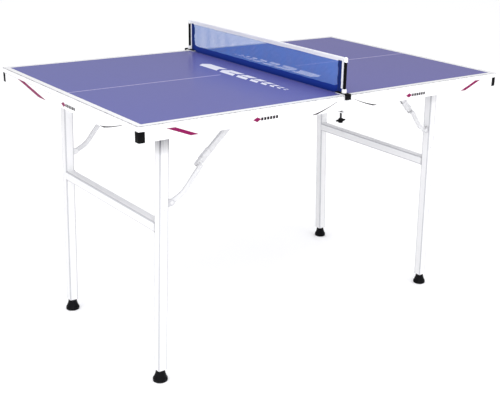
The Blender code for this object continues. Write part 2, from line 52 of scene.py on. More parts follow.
ENDS = {"front": -1, "rear": 1}  # and which way along Y leads outward

# --- Sizes read from the frame ---------------------------------------------------------------------

JOINTS = {joint["name"]: joint for joint in frame["record"]["behaviour"]["joints"]}
BOARD_LOW, BOARD_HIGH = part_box("board_left")
TOP_Z = BOARD_HIGH.z
BOARD_UNDER = BOARD_LOW.z
HALF_LENGTH = -BOARD_LOW.x
HALF_WIDTH = BOARD_HIGH.y
RAIL_LOW, RAIL_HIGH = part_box("rail_rear_left")
RAIL_BOTTOM = RAIL_LOW.z
RAIL_TOP = RAIL_HIGH.z
TUBE = RAIL_TOP - RAIL_BOTTOM
HALF_TUBE = TUBE / 2
WALL = 0.0015
TUBE_RADIUS = 0.0026
PIVOT_X = abs(JOINTS["leg_fold_left"]["pos_m"][0])
PIVOT_Z = JOINTS["leg_fold_left"]["pos_m"][2]
SPLAY = math.radians(JOINTS["leg_fold_left"]["range_deg"][1] - 90)
LEG_REACH = PIVOT_Z / math.cos(SPLAY)
TAPE_LOW, TAPE_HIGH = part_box("net_tape")
NET_LOW, NET_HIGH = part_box("net_mesh")
POST_LOW, POST_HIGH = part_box("net_post_rear")
POST_Y = (POST_LOW.y + POST_HIGH.y) / 2
POST_RADIUS = (POST_HIGH.y - POST_LOW.y) / 2
COVER_LOW, COVER_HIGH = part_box("clamp_cover_rear")


def corners():
    """Each corner's side and end, with the inward X and the outward Y."""
    for side, inward in SIDES.items():
        for end, outward in ENDS.items():
            yield side, end, inward, outward


def leg_y(side, end):
    low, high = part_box("leg_%s_%s" % (side, end))
    return (low.y + high.y) / 2


def brace_joint(which, side):
    """Where a side's upper or lower braces turn."""
    return JOINTS["%s_brace_turn_%s" % (which, side)]["pos_m"]


def brace_pivots(side):
    """A brace's lower and upper pivots, seen from the leg's pivot as how far inward and up they are."""
    places = [brace_joint(which, side) for which in ("lower", "upper")]
    return [Vector((PIVOT_X - abs(place[0]), place[2] - PIVOT_Z)) for place in places]


def brace_slope(side):
    low, high = brace_pivots(side)
    return math.atan2(high.y - low.y, high.x - low.x)


def link_lengths(side):
    """The lower and upper links, whose difference lets them fold flat together."""
    low, high = brace_pivots(side)
    together = (high - low).length
    down_the_leg = -low.x * math.sin(SPLAY) - low.y * math.cos(SPLAY)
    difference = high.x - down_the_leg
    return (together - difference) / 2, (together + difference) / 2


# --- Shape helpers ---------------------------------------------------------------------------------

IDENTITY = Matrix.Identity(4)


def place_matrix(origin, turn=0.0):
    """From a body's own coordinates, turned about Y, to the table's."""
    return Matrix.Translation(origin) @ Matrix.Rotation(turn, 4, "Y")


def leg_matrix(side, y):
    """At a leg frame's hinge, with Z up along the splayed legs."""
    inward = SIDES[side]
    return place_matrix((-inward * PIVOT_X, y, PIVOT_Z), inward * SPLAY)


def brace_matrix(which, side, end):
    """At a brace's end pivot, with X along the open brace."""
    place = brace_joint(which, side)
    return place_matrix((place[0], leg_y(side, end), place[2]), -SIDES[side] * brace_slope(side))


def linked(name, data):
    """A new object in the scene."""
    made = bpy.data.objects.new(name, data)
    bpy.context.collection.objects.link(made)
    return made


def meshed(name, shape, finish):
    """A bmesh made into a mesh, with its material."""
    mesh = bpy.data.meshes.new(name)
    shape.to_mesh(mesh)
    shape.free()
    mesh.materials.append(finish)
    return mesh


def piece(name, shape, body, finish, stands_for=(), matrix=IDENTITY, sharp=35, bevel=None):
    """Turns a bmesh into a piece that rides on a body and may stand for CAD nodes."""
    bmesh.ops.recalc_face_normals(shape, faces=shape.faces)
    mesh = meshed(name, shape, finish)
    mesh.transform(matrix)
    mesh.shade_smooth()
    mesh.set_sharp_from_angle(angle=math.radians(sharp))
    made = linked(name, mesh)
    if bevel:
        add_bevel(made, *bevel)
    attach(made, body)
    if stands_for:
        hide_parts(*stands_for)
    return made


def add_bevel(made, width, segments, method="ANGLE"):
    modifier = made.modifiers.new("rounded", "BEVEL")
    modifier.width = width
    modifier.segments = segments
    modifier.limit_method = method
    modifier.angle_limit = math.radians(40)
    modifier.harden_normals = True


def box(shape, one, other):
    """A box between two opposite corners."""
    middle = [(a + b) / 2 for a, b in zip(one, other)]
    size = [abs(b - a) for a, b in zip(one, other)]
    matrix = Matrix.Translation(middle) @ Matrix.Diagonal((*size, 1.0))
    bmesh.ops.create_cube(shape, size=1.0, matrix=matrix)


def loft(shape, rings, closed=False):
    """Skins a list of rings of points, all of the same count, and caps its ends unless it is closed."""
    loops = [[shape.verts.new(point) for point in ring] for ring in rings]
    pairs = list(zip(loops, loops[1:]))
    if closed:
        pairs.append((loops[-1], loops[0]))
    for one, other in pairs:
        for i in range(len(one)):
            j = (i + 1) % len(one)
            shape.faces.new((one[i], one[j], other[j], other[i]))
    if not closed:
        shape.faces.new(loops[0])
        shape.faces.new(loops[-1])


def circle(radius, height, steps):
    turns = [2 * math.pi * i / steps for i in range(steps)]
    return [Vector((radius * math.cos(turn), radius * math.sin(turn), height)) for turn in turns]


def turned(shape, profile, matrix=IDENTITY, steps=40, closed=False):
    """Turns a profile of (radius, height) about the matrix's Z."""
    rings = [[matrix @ point for point in circle(r, h, steps)] for r, h in profile]
    loft(shape, rings, closed=closed)


def along_y(centre, outward=1):
    """Turns Z to the outward Y direction, at a centre."""
    return Matrix.Translation(centre) @ Matrix.Rotation(-outward * math.pi / 2, 4, "X")


def ring_across(axis, place, outline, centre=(0, 0), scale=(1, 1)):
    """An outline at a place along an axis, scaled and moved in the other two."""
    ring = []
    for a, b in outline:
        point = [centre[0] + a * scale[0], centre[1] + b * scale[1]]
        point.insert(axis, place)
        ring.append(Vector(point))
    return ring


def prism(shape, outline, axis, low, high):
    """Draws an outline of points in the other two axes out along an axis."""
    loft(shape, [ring_across(axis, place, outline) for place in (low, high)])


def arc(centre, radius, start, end, steps):
    """Points on an arc, with angles in degrees."""
    angles = [math.radians(start + (end - start) * i / steps) for i in range(steps + 1)]
    return [(centre[0] + radius * math.cos(a), centre[1] + radius * math.sin(a)) for a in angles]


def rounded_rectangle(width, height, radius, steps=5):
    """A closed outline about the origin."""
    points = []
    half = (width / 2 - radius, height / 2 - radius)
    for sign_x, sign_y, start in ((1, 1, 0), (-1, 1, 90), (-1, -1, 180), (1, -1, 270)):
        points += arc((sign_x * half[0], sign_y * half[1]), radius, start, start + 90, steps)
    return points


def rounded_tube(shape, axis, low, high, centre=(0, 0), size=(TUBE, TUBE), radius=TUBE_RADIUS):
    """A drawn square tube with rounded corners and open, slightly broken ends."""
    outer = rounded_rectangle(size[0], size[1], radius)
    inner = rounded_rectangle(size[0] - 2 * WALL, size[1] - 2 * WALL, max(radius - WALL, 0.0006))
    edge = 0.0003
    broken = [1 - 2 * edge / side for side in size]
    rings = [
        ring_across(axis, low, outer, centre, broken),
        ring_across(axis, low + edge, outer, centre),
        ring_across(axis, high - edge, outer, centre),
        ring_across(axis, high, outer, centre, broken),
        ring_across(axis, high, inner, centre),
        ring_across(axis, low, inner, centre),
    ]
    loft(shape, rings, closed=True)


def offset(points, distance):
    """A line of points moved to the left of its course by a distance."""
    moved = []
    for i, point in enumerate(points):
        before = points[max(i - 1, 0)]
        after = points[min(i + 1, len(points) - 1)]
        forward = Vector((after[0] - before[0], after[1] - before[1])).normalized()
        moved.append((point[0] - forward.y * distance, point[1] + forward.x * distance))
    return moved


def between(one, other, share):
    return tuple(a + (b - a) * share for a, b in zip(one, other))


def hexagon_head(shape, matrix, radius, height):
    """A hexagon nut or bolt head with chamfered corners."""
    profile = [(0.90, 0.0), (1.0, 0.12), (1.0, 0.85), (0.88, 1.0)]
    turned(shape, [(radius * a, height * b) for a, b in profile], matrix, 6)


def dome(radius, height, steps=6):
    """The profile of a low domed head, from its rim to its crown."""
    quarter = arc((0, 0), 1.0, 0, 90, steps)[:-1]
    return [(radius * a, height * b) for a, b in quarter] + [(radius * 0.04, height)]


def rivet(shape, centre, outward, radius, height, shank=()):
    """A domed head facing along Y, over a shank given as its radius and its two ends."""
    matrix = along_y(centre, outward)
    turned(shape, dome(radius, height), matrix, 24)
    if shank:
        thickness, start, stop = shank
        turned(shape, [(thickness, start), (thickness, stop)], matrix, 20)


def cross_head_screw(shape, centre):
    """A pan-head screw seen from below, with a cross recess."""
    matrix = Matrix.Translation(centre) @ Matrix.Rotation(math.pi, 4, "X")
    radius, crown, recess, steps = 0.0042, 0.0023, 0.0013, 24
    profile = [(radius, 0.0), (radius, 0.0006), (radius * 0.86, 0.0017), (radius * 0.5, crown)]
    rings = [[matrix @ point for point in circle(r, h, steps)] for r, h in profile]
    cross = []
    for point in circle(1.0, crown, steps):
        arm = (point.x ** 2 - point.y ** 2) ** 2
        reach = radius * (0.16 + 0.26 * arm)
        cross.append(matrix @ Vector((reach * point.x, reach * point.y, crown)))
    rings.append(cross)
    rings.append([point + Vector((0, 0, recess)) for point in cross])
    loft(shape, rings)


def tube_along(shape, points, radius, steps=5):
    """A round strand along a list of points."""
    rings = []
    side = None
    for i, point in enumerate(points):
        forward = points[min(i + 1, len(points) - 1)] - points[max(i - 1, 0)]
        forward.normalize()
        if side is None:
            side = forward.orthogonal().normalized()
        side = (side - forward * side.dot(forward)).normalized()
        other = forward.cross(side)
        rings.append([point + side * spot.x + other * spot.y for spot in circle(radius, 0.0, steps)])
    loft(shape, rings)


def threaded_rod(shape, radius, low, high, pitch=0.00125, matrix=IDENTITY):
    """A rod whose surface is a true helix, with blended ends."""
    steps, per_turn, depth = 24, 6, 0.00055
    rows = int((high - low) / pitch * per_turn)
    rings = []
    for row in range(rows + 1):
        height = low + (high - low) * row / rows
        fade = min(1.0, row / per_turn, (rows - row) / per_turn)
        ring = []
        for i, spot in enumerate(circle(1.0, height, steps)):
            phase = (height / pitch - i / steps) % 1.0
            r = radius - depth * fade * (1 - abs(2 * phase - 1))
            ring.append(matrix @ Vector((r * spot.x, r * spot.y, height)))
        rings.append(ring)
    loft(shape, rings)


# --- Material helpers ------------------------------------------------------------------------------


class Term:
    """A socket of a node tree that arithmetic works on."""

    def __init__(self, graph, socket):
        self.graph = graph
        self.socket = socket

    def _math(self, operation, *others):
        node = self.graph.nodes.new("ShaderNodeMath")
        node.operation = operation
        for i, value in enumerate((self, *others)):
            if isinstance(value, Term):
                self.graph.links.new(value.socket, node.inputs[i])
            else:
                node.inputs[i].default_value = value
        return Term(self.graph, node.outputs[0])

    __add__ = partialmethod(_math, "ADD")
    __sub__ = partialmethod(_math, "SUBTRACT")
    __mul__ = partialmethod(_math, "MULTIPLY")
    __truediv__ = partialmethod(_math, "DIVIDE")
    __pow__ = partialmethod(_math, "POWER")
    __abs__ = partialmethod(_math, "ABSOLUTE")
    over = partialmethod(_math, "GREATER_THAN")
    under = partialmethod(_math, "LESS_THAN")
    most = partialmethod(_math, "MAXIMUM")
    least = partialmethod(_math, "MINIMUM")
    sine = partialmethod(_math, "SINE")
    fraction = partialmethod(_math, "FRACT")
    sign = partialmethod(_math, "SIGN")

    def held(self):
        """The value kept between 0 and 1."""
        return self.most(0.0).least(1.0)

    def band(self, low, high):
        """1 where the value is between two others."""
        return self.over(low) * self.under(high)


class Finish:
    """A material under construction, with its coordinates and its shader at hand."""

    def __init__(self, name, colour, roughness, **constants):
        self.made = bpy.data.materials.new(name)
        self.made.use_nodes = True
        self.tree = self.made.node_tree
        self.shader = self.tree.nodes["Principled BSDF"]
        self.shader.inputs["Base Color"].default_value = (*colour, 1.0)
        self.shader.inputs["Roughness"].default_value = roughness
        for socket, value in constants.items():
            self.shader.inputs[socket.replace("_", " ")].default_value = value
        self.coordinates = self.tree.nodes.new("ShaderNodeTexCoord")
        self.x, self.y, self.z = self.parts_of("Object")

    def parts_of(self, output):
        """The surface's own place or its own direction, as three terms."""
        split = self.tree.nodes.new("ShaderNodeSeparateXYZ")
        self.tree.links.new(self.coordinates.outputs[output], split.inputs[0])
        return [Term(self.tree, socket) for socket in split.outputs]

    def pattern(self, kind, output, scale, stretch, **more):
        node = self.tree.nodes.new(kind)
        node.inputs["Scale"].default_value = scale
        for socket, value in more.items():
            node.inputs[socket].default_value = value
        place = self.coordinates.outputs["Object"]
        if stretch:
            mapping = self.tree.nodes.new("ShaderNodeMapping")
            mapping.inputs["Scale"].default_value = stretch
            self.tree.links.new(place, mapping.inputs["Vector"])
            place = mapping.outputs[0]
        self.tree.links.new(place, node.inputs["Vector"])
        return Term(self.tree, node.outputs[output])

    def noise(self, scale, detail=2.0, stretch=None, roughness=0.5):
        return self.pattern("ShaderNodeTexNoise", "Fac", scale, stretch, Detail=detail, Roughness=roughness)

    def cells(self, scale):
        return self.pattern("ShaderNodeTexVoronoi", "Distance", scale, None)

    def layered(self, base, *layers):
        """A colour with others over it, each where its share is 1. A colour is three numbers or a socket."""
        for colour, share in layers:
            node = self.tree.nodes.new("ShaderNodeMix")
            node.data_type = "RGBA"
            for socket, value in ((node.inputs[6], base), (node.inputs[7], colour)):
                if isinstance(value, tuple):
                    socket.default_value = (*value, 1.0)
                else:
                    self.tree.links.new(value, socket)
            self.tree.links.new(share.socket, node.inputs[0])
            base = node.outputs[2]
        return base

    def done(self, colour, roughness=None, height=None, distance=0.0):
        """The material, with its colour and, if given, its roughness and its relief."""
        self.tree.links.new(colour, self.shader.inputs["Base Color"])
        if roughness:
            self.tree.links.new(roughness.socket, self.shader.inputs["Roughness"])
        if height:
            node = self.tree.nodes.new("ShaderNodeBump")
            node.inputs["Distance"].default_value = distance
            node.inputs["Strength"].default_value = 1.0
            self.tree.links.new(height.socket, node.inputs["Height"])
            self.tree.links.new(node.outputs[0], self.shader.inputs["Normal"])
        return self.made


# --- Materials -------------------------------------------------------------------------------------

LINE_WIDTH = 0.016
INNER_LINE = 0.0012
CENTRE_LINE = 0.0032
CENTRE_LINE_START = 0.135
TINT_REACH = 0.62
PRINT_DEPTH = 0.0011
GRAPHIC_X = 0.092
GRAPHIC_BARS = (
    (-0.245, 0.010, 0.006),
    (-0.222, 0.014, 0.009),
    (-0.195, 0.018, 0.012),
    (-0.163, 0.024, 0.015),
    (-0.124, 0.034, 0.018),
    (-0.075, 0.048, 0.020),
    (-0.012, 0.066, 0.021),
    (0.070, 0.090, 0.019),
)
BADGE_X = 0.262
BADGE_HEIGHT = 0.0120
WHITE = (0.84, 0.84, 0.85)
# Painted shade: the legs' and cross rails' white powder coat made a little darker than the rest, to keep
# their lit faces below full white.
LEG_SHADED_WHITE = (0.80, 0.80, 0.81)
# Painted shade: the braces' white powder coat made darker than the rest, for the shade they stand in under
# the table.
BRACE_SHADED_WHITE = (0.66, 0.66, 0.675)
# Painted shade: grey on the leg frame tubes' rounded corners, which outlines them.
CORNER_SHADE_GREY = (0.40, 0.40, 0.43)
# Painted shade: the dark grey laid on the legs' tops, where the table top shades them.
SHADE_GREY_UNDER_RAIL = (0.030, 0.030, 0.045)
TOP_BLUE = (0.106, 0.114, 0.352)
PALE_BLUE = (0.117, 0.122, 0.368)
TOP_VIOLET = (0.124, 0.106, 0.320)
DEEP_BLUE = (0.045, 0.047, 0.200)
LINE_LILAC = (0.52, 0.48, 0.74)
GRAPHIC_WHITE = (0.80, 0.79, 0.86)
PAPER_WHITE = (0.74, 0.74, 0.77)
MAGENTA = (0.205, 0.000, 0.068)
PLUM = (0.008, 0.003, 0.006)
BLACK = (0.002, 0.002, 0.002)
SOFT_BLACK = (0.005, 0.005, 0.006)


def court_graphic(f):
    """Slanted bars that grow along a row, once on each half, each turned towards its own end."""
    u = f.y * (f.x.sign() * -1.0)
    v = abs(f.x) - GRAPHIC_X
    slant = u + abs(v) * 0.75
    marks = f.x * 0.0
    for start, length, half in GRAPHIC_BARS:
        marks = marks.most(slant.band(start, start + length) * abs(v).under(half))
    notch = abs(v).under(0.0022) * u.under(0.02)
    return (marks - notch).held()


def board_finish():
    """Printed and lacquered fibreboard: blue-violet above, white on the edges, pale paper below."""
    shell = dict(Coat_Weight=0.04, Coat_Roughness=0.10, Specular_IOR_Level=0.3)
    f = Finish("board_lacquer", (0.11, 0.11, 0.31), 0.3, **shell)
    inside = (abs(f.x) * -1.0 + HALF_LENGTH).least(abs(f.y) * -1.0 + HALF_WIDTH)
    grain = f.noise(900.0, 2.0)
    # Painted shade: a broken dark line along both faces of the board's top edge, the shade of a narrow groove
    # there.
    rim_shade_line = (f.noise(160.0, 3.0) * 1.6 - 0.1).held()
    below = f.z.under(BOARD_UNDER + 0.0006)
    above = f.layered(
        TOP_BLUE,
        (PALE_BLUE, f.noise(2.2, 3.0)),
        (TOP_VIOLET, ((f.x + TINT_REACH) / (2 * TINT_REACH)).held() * 0.6),
        ((0.17, 0.175, 0.40), (grain - 0.62).held() * 0.5),
        (DEEP_BLUE, inside.band(LINE_WIDTH, LINE_WIDTH + INNER_LINE) * 0.8),
        (LINE_LILAC, abs(f.y).under(CENTRE_LINE / 2) * abs(f.x).over(CENTRE_LINE_START)),
        (GRAPHIC_WHITE, court_graphic(f)),
        (WHITE, inside.under(LINE_WIDTH)),
        ((0.16, 0.16, 0.18), inside.under(0.0017) * rim_shade_line),
    )
    paper = f.layered(
        (0.66, 0.66, 0.70),
        (PAPER_WHITE, f.noise(170.0, 6.0, (1.0, 0.35, 1.0), 0.7)),
        ((0.52, 0.52, 0.56), f.cells(420.0).under(0.16) * 0.4),
    )
    colour = f.layered(
        WHITE,
        (PAPER_WHITE, (f.noise(60.0, 4.0) - 0.45).held() * 0.6),
        ((0.20, 0.20, 0.22), f.z.over(TOP_Z - 0.0017) * rim_shade_line * 0.8),
        (paper, below),
        (above, f.z.over(TOP_Z - PRINT_DEPTH)),
    )
    relief = f.noise(700.0, 2.0) + grain * below * 4.0
    return f.done(colour, grain * 0.10 + 0.20 + below * 0.45, relief, 0.00006)


def painted(name, tint=WHITE, shine=0.3, marks=None):
    """Powder coat: a fine orange peel, faintly uneven in tone, under grey specks or a function's marks."""
    f = Finish(name, tint, 0.34, Coat_Weight=0.03, Coat_Roughness=0.2, Specular_IOR_Level=shine)
    speck = f.noise(1400.0, 2.0)
    layers = marks(f) if marks else [(tuple(c * 0.86 for c in tint), (speck - 0.60).held() * 1.2)]
    colour = f.layered(tint, (tuple(c * 0.95 for c in tint), f.noise(9.0, 3.0)), *layers)
    return f.done(colour, speck * 0.16 + 0.27, f.noise(520.0, 2.0), 0.00010)


def corner_shade_mask(f, from_middle):
    """1 on a leg frame tube's rounded corners, where their shade is painted, from how far a point lies from
    its middle the other way.
    """
    flat = HALF_TUBE - TUBE_RADIUS - 0.0006
    reach = abs(abs(f.x) + (f.z - PIVOT_Z) * math.tan(SPLAY) - PIVOT_X)
    return reach.over(flat) * from_middle.over(flat)


def leg_marks(f):
    """Painted shade along the legs' corners, and painted shade below the rail where the top shades the legs,
    most on the left front leg.
    """
    middles = [(leg_y(side, "front") + leg_y(side, "rear")) / 2 for side in SIDES]
    span = leg_y("left", "rear") - middles[0]
    middle = f.x.sign() * ((middles[1] - middles[0]) / 2) + sum(middles) / 2
    corner_shade = corner_shade_mask(f, abs(abs(f.y - middle) - span))
    # Painted shade below the rail: full at the rail, gone about 68 mm lower, strongest on the left front leg.
    left_front_leg = f.x.under(0.0) * f.y.under(0.0)
    shade_below_rail = ((f.z - RAIL_BOTTOM + 0.068) * 15.0).held() ** 0.8 * (left_front_leg * 0.55 + 0.45)
    streak = f.noise(260.0, 3.0, (1.0, 1.0, 0.06)) * 1.3 + 0.30
    return [(CORNER_SHADE_GREY, corner_shade * 0.75), (SHADE_GREY_UNDER_RAIL, (shade_below_rail * (streak + corner_shade * 0.5)).held() * 0.95)]


def cross_rail_marks(f):
    """Painted shade along the cross rail's corners."""
    low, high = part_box("cross_rail_left")
    return [(CORNER_SHADE_GREY, corner_shade_mask(f, abs(f.z - (low.z + high.z) / 2)) * 0.75)]


def rail_marks(f):
    """The printed ribbons, thin arcs and small generic badges on the rails' outer faces."""
    nx, ny, _ = f.parts_of("Normal")
    long_face = abs(ny).over(0.7) * abs(f.y).over(HALF_WIDTH - 0.004)
    end_face = abs(nx).over(0.7) * abs(f.x).over(HALF_LENGTH - 0.004)
    height = f.z - RAIL_BOTTOM

    def ribbon(place, start, stop):
        """A band that falls straight from the rail's top at start to its bottom at stop."""
        left = (place * -1.0 + stop) / (stop - start)
        return abs(height - left * TUBE).under(TUBE * 0.175)

    def hairline(place, start, stop, half):
        """A thin arc that rises ever faster from the rail's bottom at start to its top at stop."""
        along = (place - start) / (stop - start)
        middle = along.held() ** 1.3 * TUBE
        thick = along * -half + (half + 0.0006)
        return abs(height - middle).under(thick) * along.band(0.0, 1.0)

    span = abs(f.x)
    rightward = f.x * f.y.sign() * -1.0
    end_rightward = f.y * f.x.sign()
    magenta = ribbon(span, 0.528, 0.463) * long_face
    magenta = magenta.most(ribbon(end_rightward * -1.0, 0.255, 0.118) * end_face)
    plum = hairline(span, 0.112, 0.030, 0.0015) * long_face
    plum = plum.most(hairline(end_rightward, 0.200, 0.305, 0.0013) * end_face)
    badges = (
        (rightward - BADGE_X, long_face),
        (rightward + BADGE_X, long_face),
        (end_rightward - 0.030, end_face),
    )
    for place, face in badges:
        lozenge = (abs(place + 0.025) * 0.50 + abs(height - BADGE_HEIGHT)).under(0.0062)
        blocks = abs(height - BADGE_HEIGHT).under(0.0038) * place.band(-0.0135, 0.0405)
        blocks = blocks * ((place + 0.0135) * 111.0).fraction().under(0.78)
        magenta = magenta.most(lozenge * face)
        plum = plum.most(blocks * face)
    return [(PLUM, plum), (MAGENTA, magenta)]


def black_moulding():
    """Black moulded plastic with a fine spark-eroded grain."""
    f = Finish("black_moulding", (0.003, 0.003, 0.003), 0.45, Specular_IOR_Level=0.06)
    grain = f.cells(1500.0)
    colour = f.layered(BLACK, (SOFT_BLACK, f.noise(30.0, 3.0)))
    return f.done(colour, grain * 0.20 + 0.45, grain, 0.00007)


def foot_rubber():
    """Black rubber, dusty near the floor."""
    f = Finish("foot_rubber", (0.004, 0.004, 0.004), 0.5, Specular_IOR_Level=0.10)
    cloud = f.noise(55.0, 4.0)
    dust = (f.z * -220.0 + 1.0).held() * (cloud * 0.6)
    colour = f.layered((0.003, 0.003, 0.004), ((0.050, 0.048, 0.046), dust))
    return f.done(colour, cloud * 0.25 + 0.40, f.noise(900.0, 2.0), 0.00008)


def black_enamel():
    f = Finish("black_enamel", (0.003, 0.003, 0.003), 0.35, Specular_IOR_Level=0.04)
    cloud = f.noise(40.0, 3.0)
    return f.done(f.layered(BLACK, (SOFT_BLACK, cloud)), cloud * 0.15 + 0.30, f.noise(700.0, 2.0), 0.00005)


def zinc():
    """Bright zinc plate with faint spangle and turning marks."""
    f = Finish("zinc_plate", (0.62, 0.63, 0.66), 0.3, Metallic=1.0)
    colour = f.layered((0.55, 0.56, 0.60), ((0.74, 0.74, 0.72), f.cells(260.0)))
    turning = f.noise(1200.0, 2.0, (1.0, 1.0, 6.0))
    return f.done(colour, f.noise(300.0, 3.0) * 0.25 + 0.18, turning, 0.00004)


def black_oxide():
    f = Finish("black_oxide", (0.02, 0.02, 0.022), 0.36, Metallic=0.7)
    cloud = f.noise(250.0, 3.0)
    return f.done(f.layered((0.012, 0.012, 0.014), ((0.06, 0.06, 0.065), cloud)), cloud * 0.2 + 0.28)


def woven(name, colour, dark, threads, sheen=0.3):
    """Plain-woven cloth lying in the YZ plane, with threads to the metre."""
    f = Finish(name, colour, 0.75, Sheen_Weight=sheen, Sheen_Roughness=0.5, Specular_IOR_Level=0.2)
    rate = threads * 2 * math.pi
    weave = (f.y * rate).sine() * (f.z * rate).sine() * 0.5 + 0.5
    slub = f.noise(220.0, 3.0)
    shade = (weave * 0.75 + slub * 0.35).held()
    return f.done(f.layered(dark, (colour, shade)), slub * 0.2 + 0.62, weave, 0.00012)


def spun(name, colour, dark, twist=900.0, sheen=0.3):
    """Spun yarn, with its plies as slanting bands."""
    f = Finish(name, colour, 0.7, Sheen_Weight=sheen, Sheen_Roughness=0.4)
    ply = ((f.y + f.z + f.x) * (twist * 2 * math.pi)).sine() * 0.5 + 0.5
    return f.done(f.layered(dark, (colour, ply)), f.noise(400.0, 2.0) * 0.2 + 0.6, ply, 0.00005)


def white_moulding():
    f = Finish("white_moulding", (0.84, 0.84, 0.85), 0.4, Subsurface_Weight=0.05)
    cloud = f.noise(60.0, 3.0)
    colour = f.layered((0.82, 0.82, 0.83), ((0.88, 0.88, 0.88), cloud))
    return f.done(colour, cloud * 0.15 + 0.33, f.cells(1100.0), 0.00004)


def floor_finish():
    f = Finish("studio_floor", (0.97, 0.97, 0.97), 0.75)
    return f.done(f.layered((0.965, 0.965, 0.968), ((0.98, 0.98, 0.98), f.noise(0.8, 2.0))))


# --- The top ---------------------------------------------------------------------------------------


def boards(finish):
    """Two half boards with softly broken edges."""
    for side in SIDES:
        node = "board_" + side
        shape = bmesh.new()
        box(shape, *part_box(node))
        piece(node + "_sheet", shape, "top", finish, [node], bevel=(0.0009, 4))


def rounded_rail(name, across, reach, finish):
    """The CAD rail with its long outer edges rounded; its outer face is at a reach along one axis."""
    near = 0.0002

    def outer(point):
        place = abs(point[across])
        at_side = min(abs(place - reach), abs(place - reach + TUBE)) < near
        at_level = min(abs(point.z - RAIL_BOTTOM), abs(point.z - RAIL_TOP)) < near
        return at_side and at_level

    shape = bmesh.new()
    shape.from_mesh(frame["nodes"][name].data)
    bmesh.ops.remove_doubles(shape, verts=shape.verts, dist=1e-6)
    bmesh.ops.dissolve_limit(shape, angle_limit=math.radians(1), verts=shape.verts, edges=shape.edges)
    weights = shape.edges.layers.float.new("bevel_weight_edge")
    for edge in shape.edges:
        if edge.calc_length() > 0.2 and all(outer(vert.co) for vert in edge.verts):
            edge[weights] = 1.0
    made = piece(name + "_tube", shape, "top", finish, [name], sharp=40)
    add_bevel(made, 0.0013, 5, "WEIGHT")


def rails(finish):
    for side in SIDES:
        for end in ENDS:
            rounded_rail("rail_%s_%s" % (end, side), 1, HALF_WIDTH, finish)
        rounded_rail("rail_end_" + side, 0, HALF_LENGTH, finish)


def rail_joiners(finish):
    """The sleeves inside the long rails at the middle joint."""
    for end in ENDS:
        name = "rail_joiner_" + end
        low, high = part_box(name)
        centre = ((low.y + high.y) / 2, (low.z + high.z) / 2)
        size = (high.y - low.y, high.z - low.z)
        shape = bmesh.new()
        rounded_tube(shape, 0, low.x, high.x, centre, size, 0.002)
        piece(name + "_sleeve", shape, "top", finish, [name])


def corner_caps(finish):
    """Corner blocks with a rounded outer corner, and the prongs that snap into the rails."""
    size, radius, edge, prong, inset = 0.016, 0.0030, 0.0007, 0.030, 0.0019
    outline = [(size, 0.0), (size, size), (0.0, size)] + arc((radius, radius), radius, 180, 270, 6)
    broken = 1 - 2 * edge / size
    levels = ((RAIL_BOTTOM, broken), (RAIL_BOTTOM + edge, 1.0), (RAIL_TOP - edge, 1.0), (RAIL_TOP, broken))
    for side, end, inward, outward in corners():
        def placed(a, b, z):
            """From the corner inward along X and Y."""
            return (-inward * (HALF_LENGTH - a), outward * (HALF_WIDTH - b), z)

        rings = []
        for z, scale in levels:
            scaled = [[size / 2 + (place - size / 2) * scale for place in point] for point in outline]
            rings.append([placed(a, b, z) for a, b in scaled])
        shape = bmesh.new()
        loft(shape, rings)
        start, stop = (size - 0.0005, inset), (prong, size - inset)
        for one, other in ((start, stop), (start[::-1], stop[::-1])):
            box(shape, placed(*one, RAIL_BOTTOM + inset), placed(*other, RAIL_TOP - inset))
        node = "corner_cap_%s_%s" % (side, end)
        piece(node + "_block", shape, "top", finish, [node], sharp=50)


SHEET = 0.002
FLANGE = 0.015
PLAY = 0.0006


def sheet_bracket(name, pin, seat, inner_faces, radius, finish, stands_for=()):
    """Flanges against a seat above, and a rounded cheek outside each inner face."""
    x, pin_z = pin
    left, right = inner_faces
    shape = bmesh.new()
    for start, stop in ((left - FLANGE, left), (right, right + FLANGE), (left, right)):
        box(shape, (x - radius, start, seat - SHEET), (x + radius, stop, seat))
    top = seat - SHEET / 2
    cheek = [(x - radius, top)] + arc((x, pin_z), radius, 180, 360, 14) + [(x + radius, top)]
    for start, stop in ((left - SHEET, left), (right, right + SHEET)):
        prism(shape, cheek, 1, start, stop)
    piece(name, shape, "top", finish, stands_for, bevel=(0.0004, 2))


def cross_tubes(paint, shaded_leg_paint, steel):
    """The hinge tubes, their brackets, and the pivot bolts with their nuts."""
    reach = HALF_TUBE + PLAY + SHEET
    for side, inward in SIDES.items():
        node = "cross_tube_" + side
        low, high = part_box(node)
        x = -inward * PIVOT_X
        shape = bmesh.new()
        rounded_tube(shape, 1, low.y, high.y, (x, (RAIL_BOTTOM + RAIL_TOP) / 2))
        piece(node + "_bar", shape, "top", paint, [node])
        for end, outward in ENDS.items():
            y = leg_y(side, end)
            faces = (y - HALF_TUBE - PLAY, y + HALF_TUBE + PLAY)
            bracket = "hinge_bracket_%s_%s" % (side, end)
            # The brackets take the legs' paint, with its painted shade below the rail.
            sheet_bracket(bracket, (x, PIVOT_Z), RAIL_BOTTOM - 0.0003, faces, 0.0125, shaded_leg_paint)
            shape = bmesh.new()
            for facing, height in ((outward, 0.0042), (-outward, 0.0050)):
                matrix = along_y((x, y + facing * reach, PIVOT_Z), facing)
                hexagon_head(shape, matrix, 0.0068, height)
                turned(shape, [(0.0078, 0.0), (0.0078, 0.0006), (0.0042, 0.0006)], matrix)
            turned(shape, [(0.0038, -2 * reach), (0.0038, 0.0064), (0.0030, 0.0070)], matrix, 24)
            bolt = "leg_bolt_%s_%s" % (side, end)
            piece(bolt + "_set", shape, "top", steel, [bolt], sharp=25)


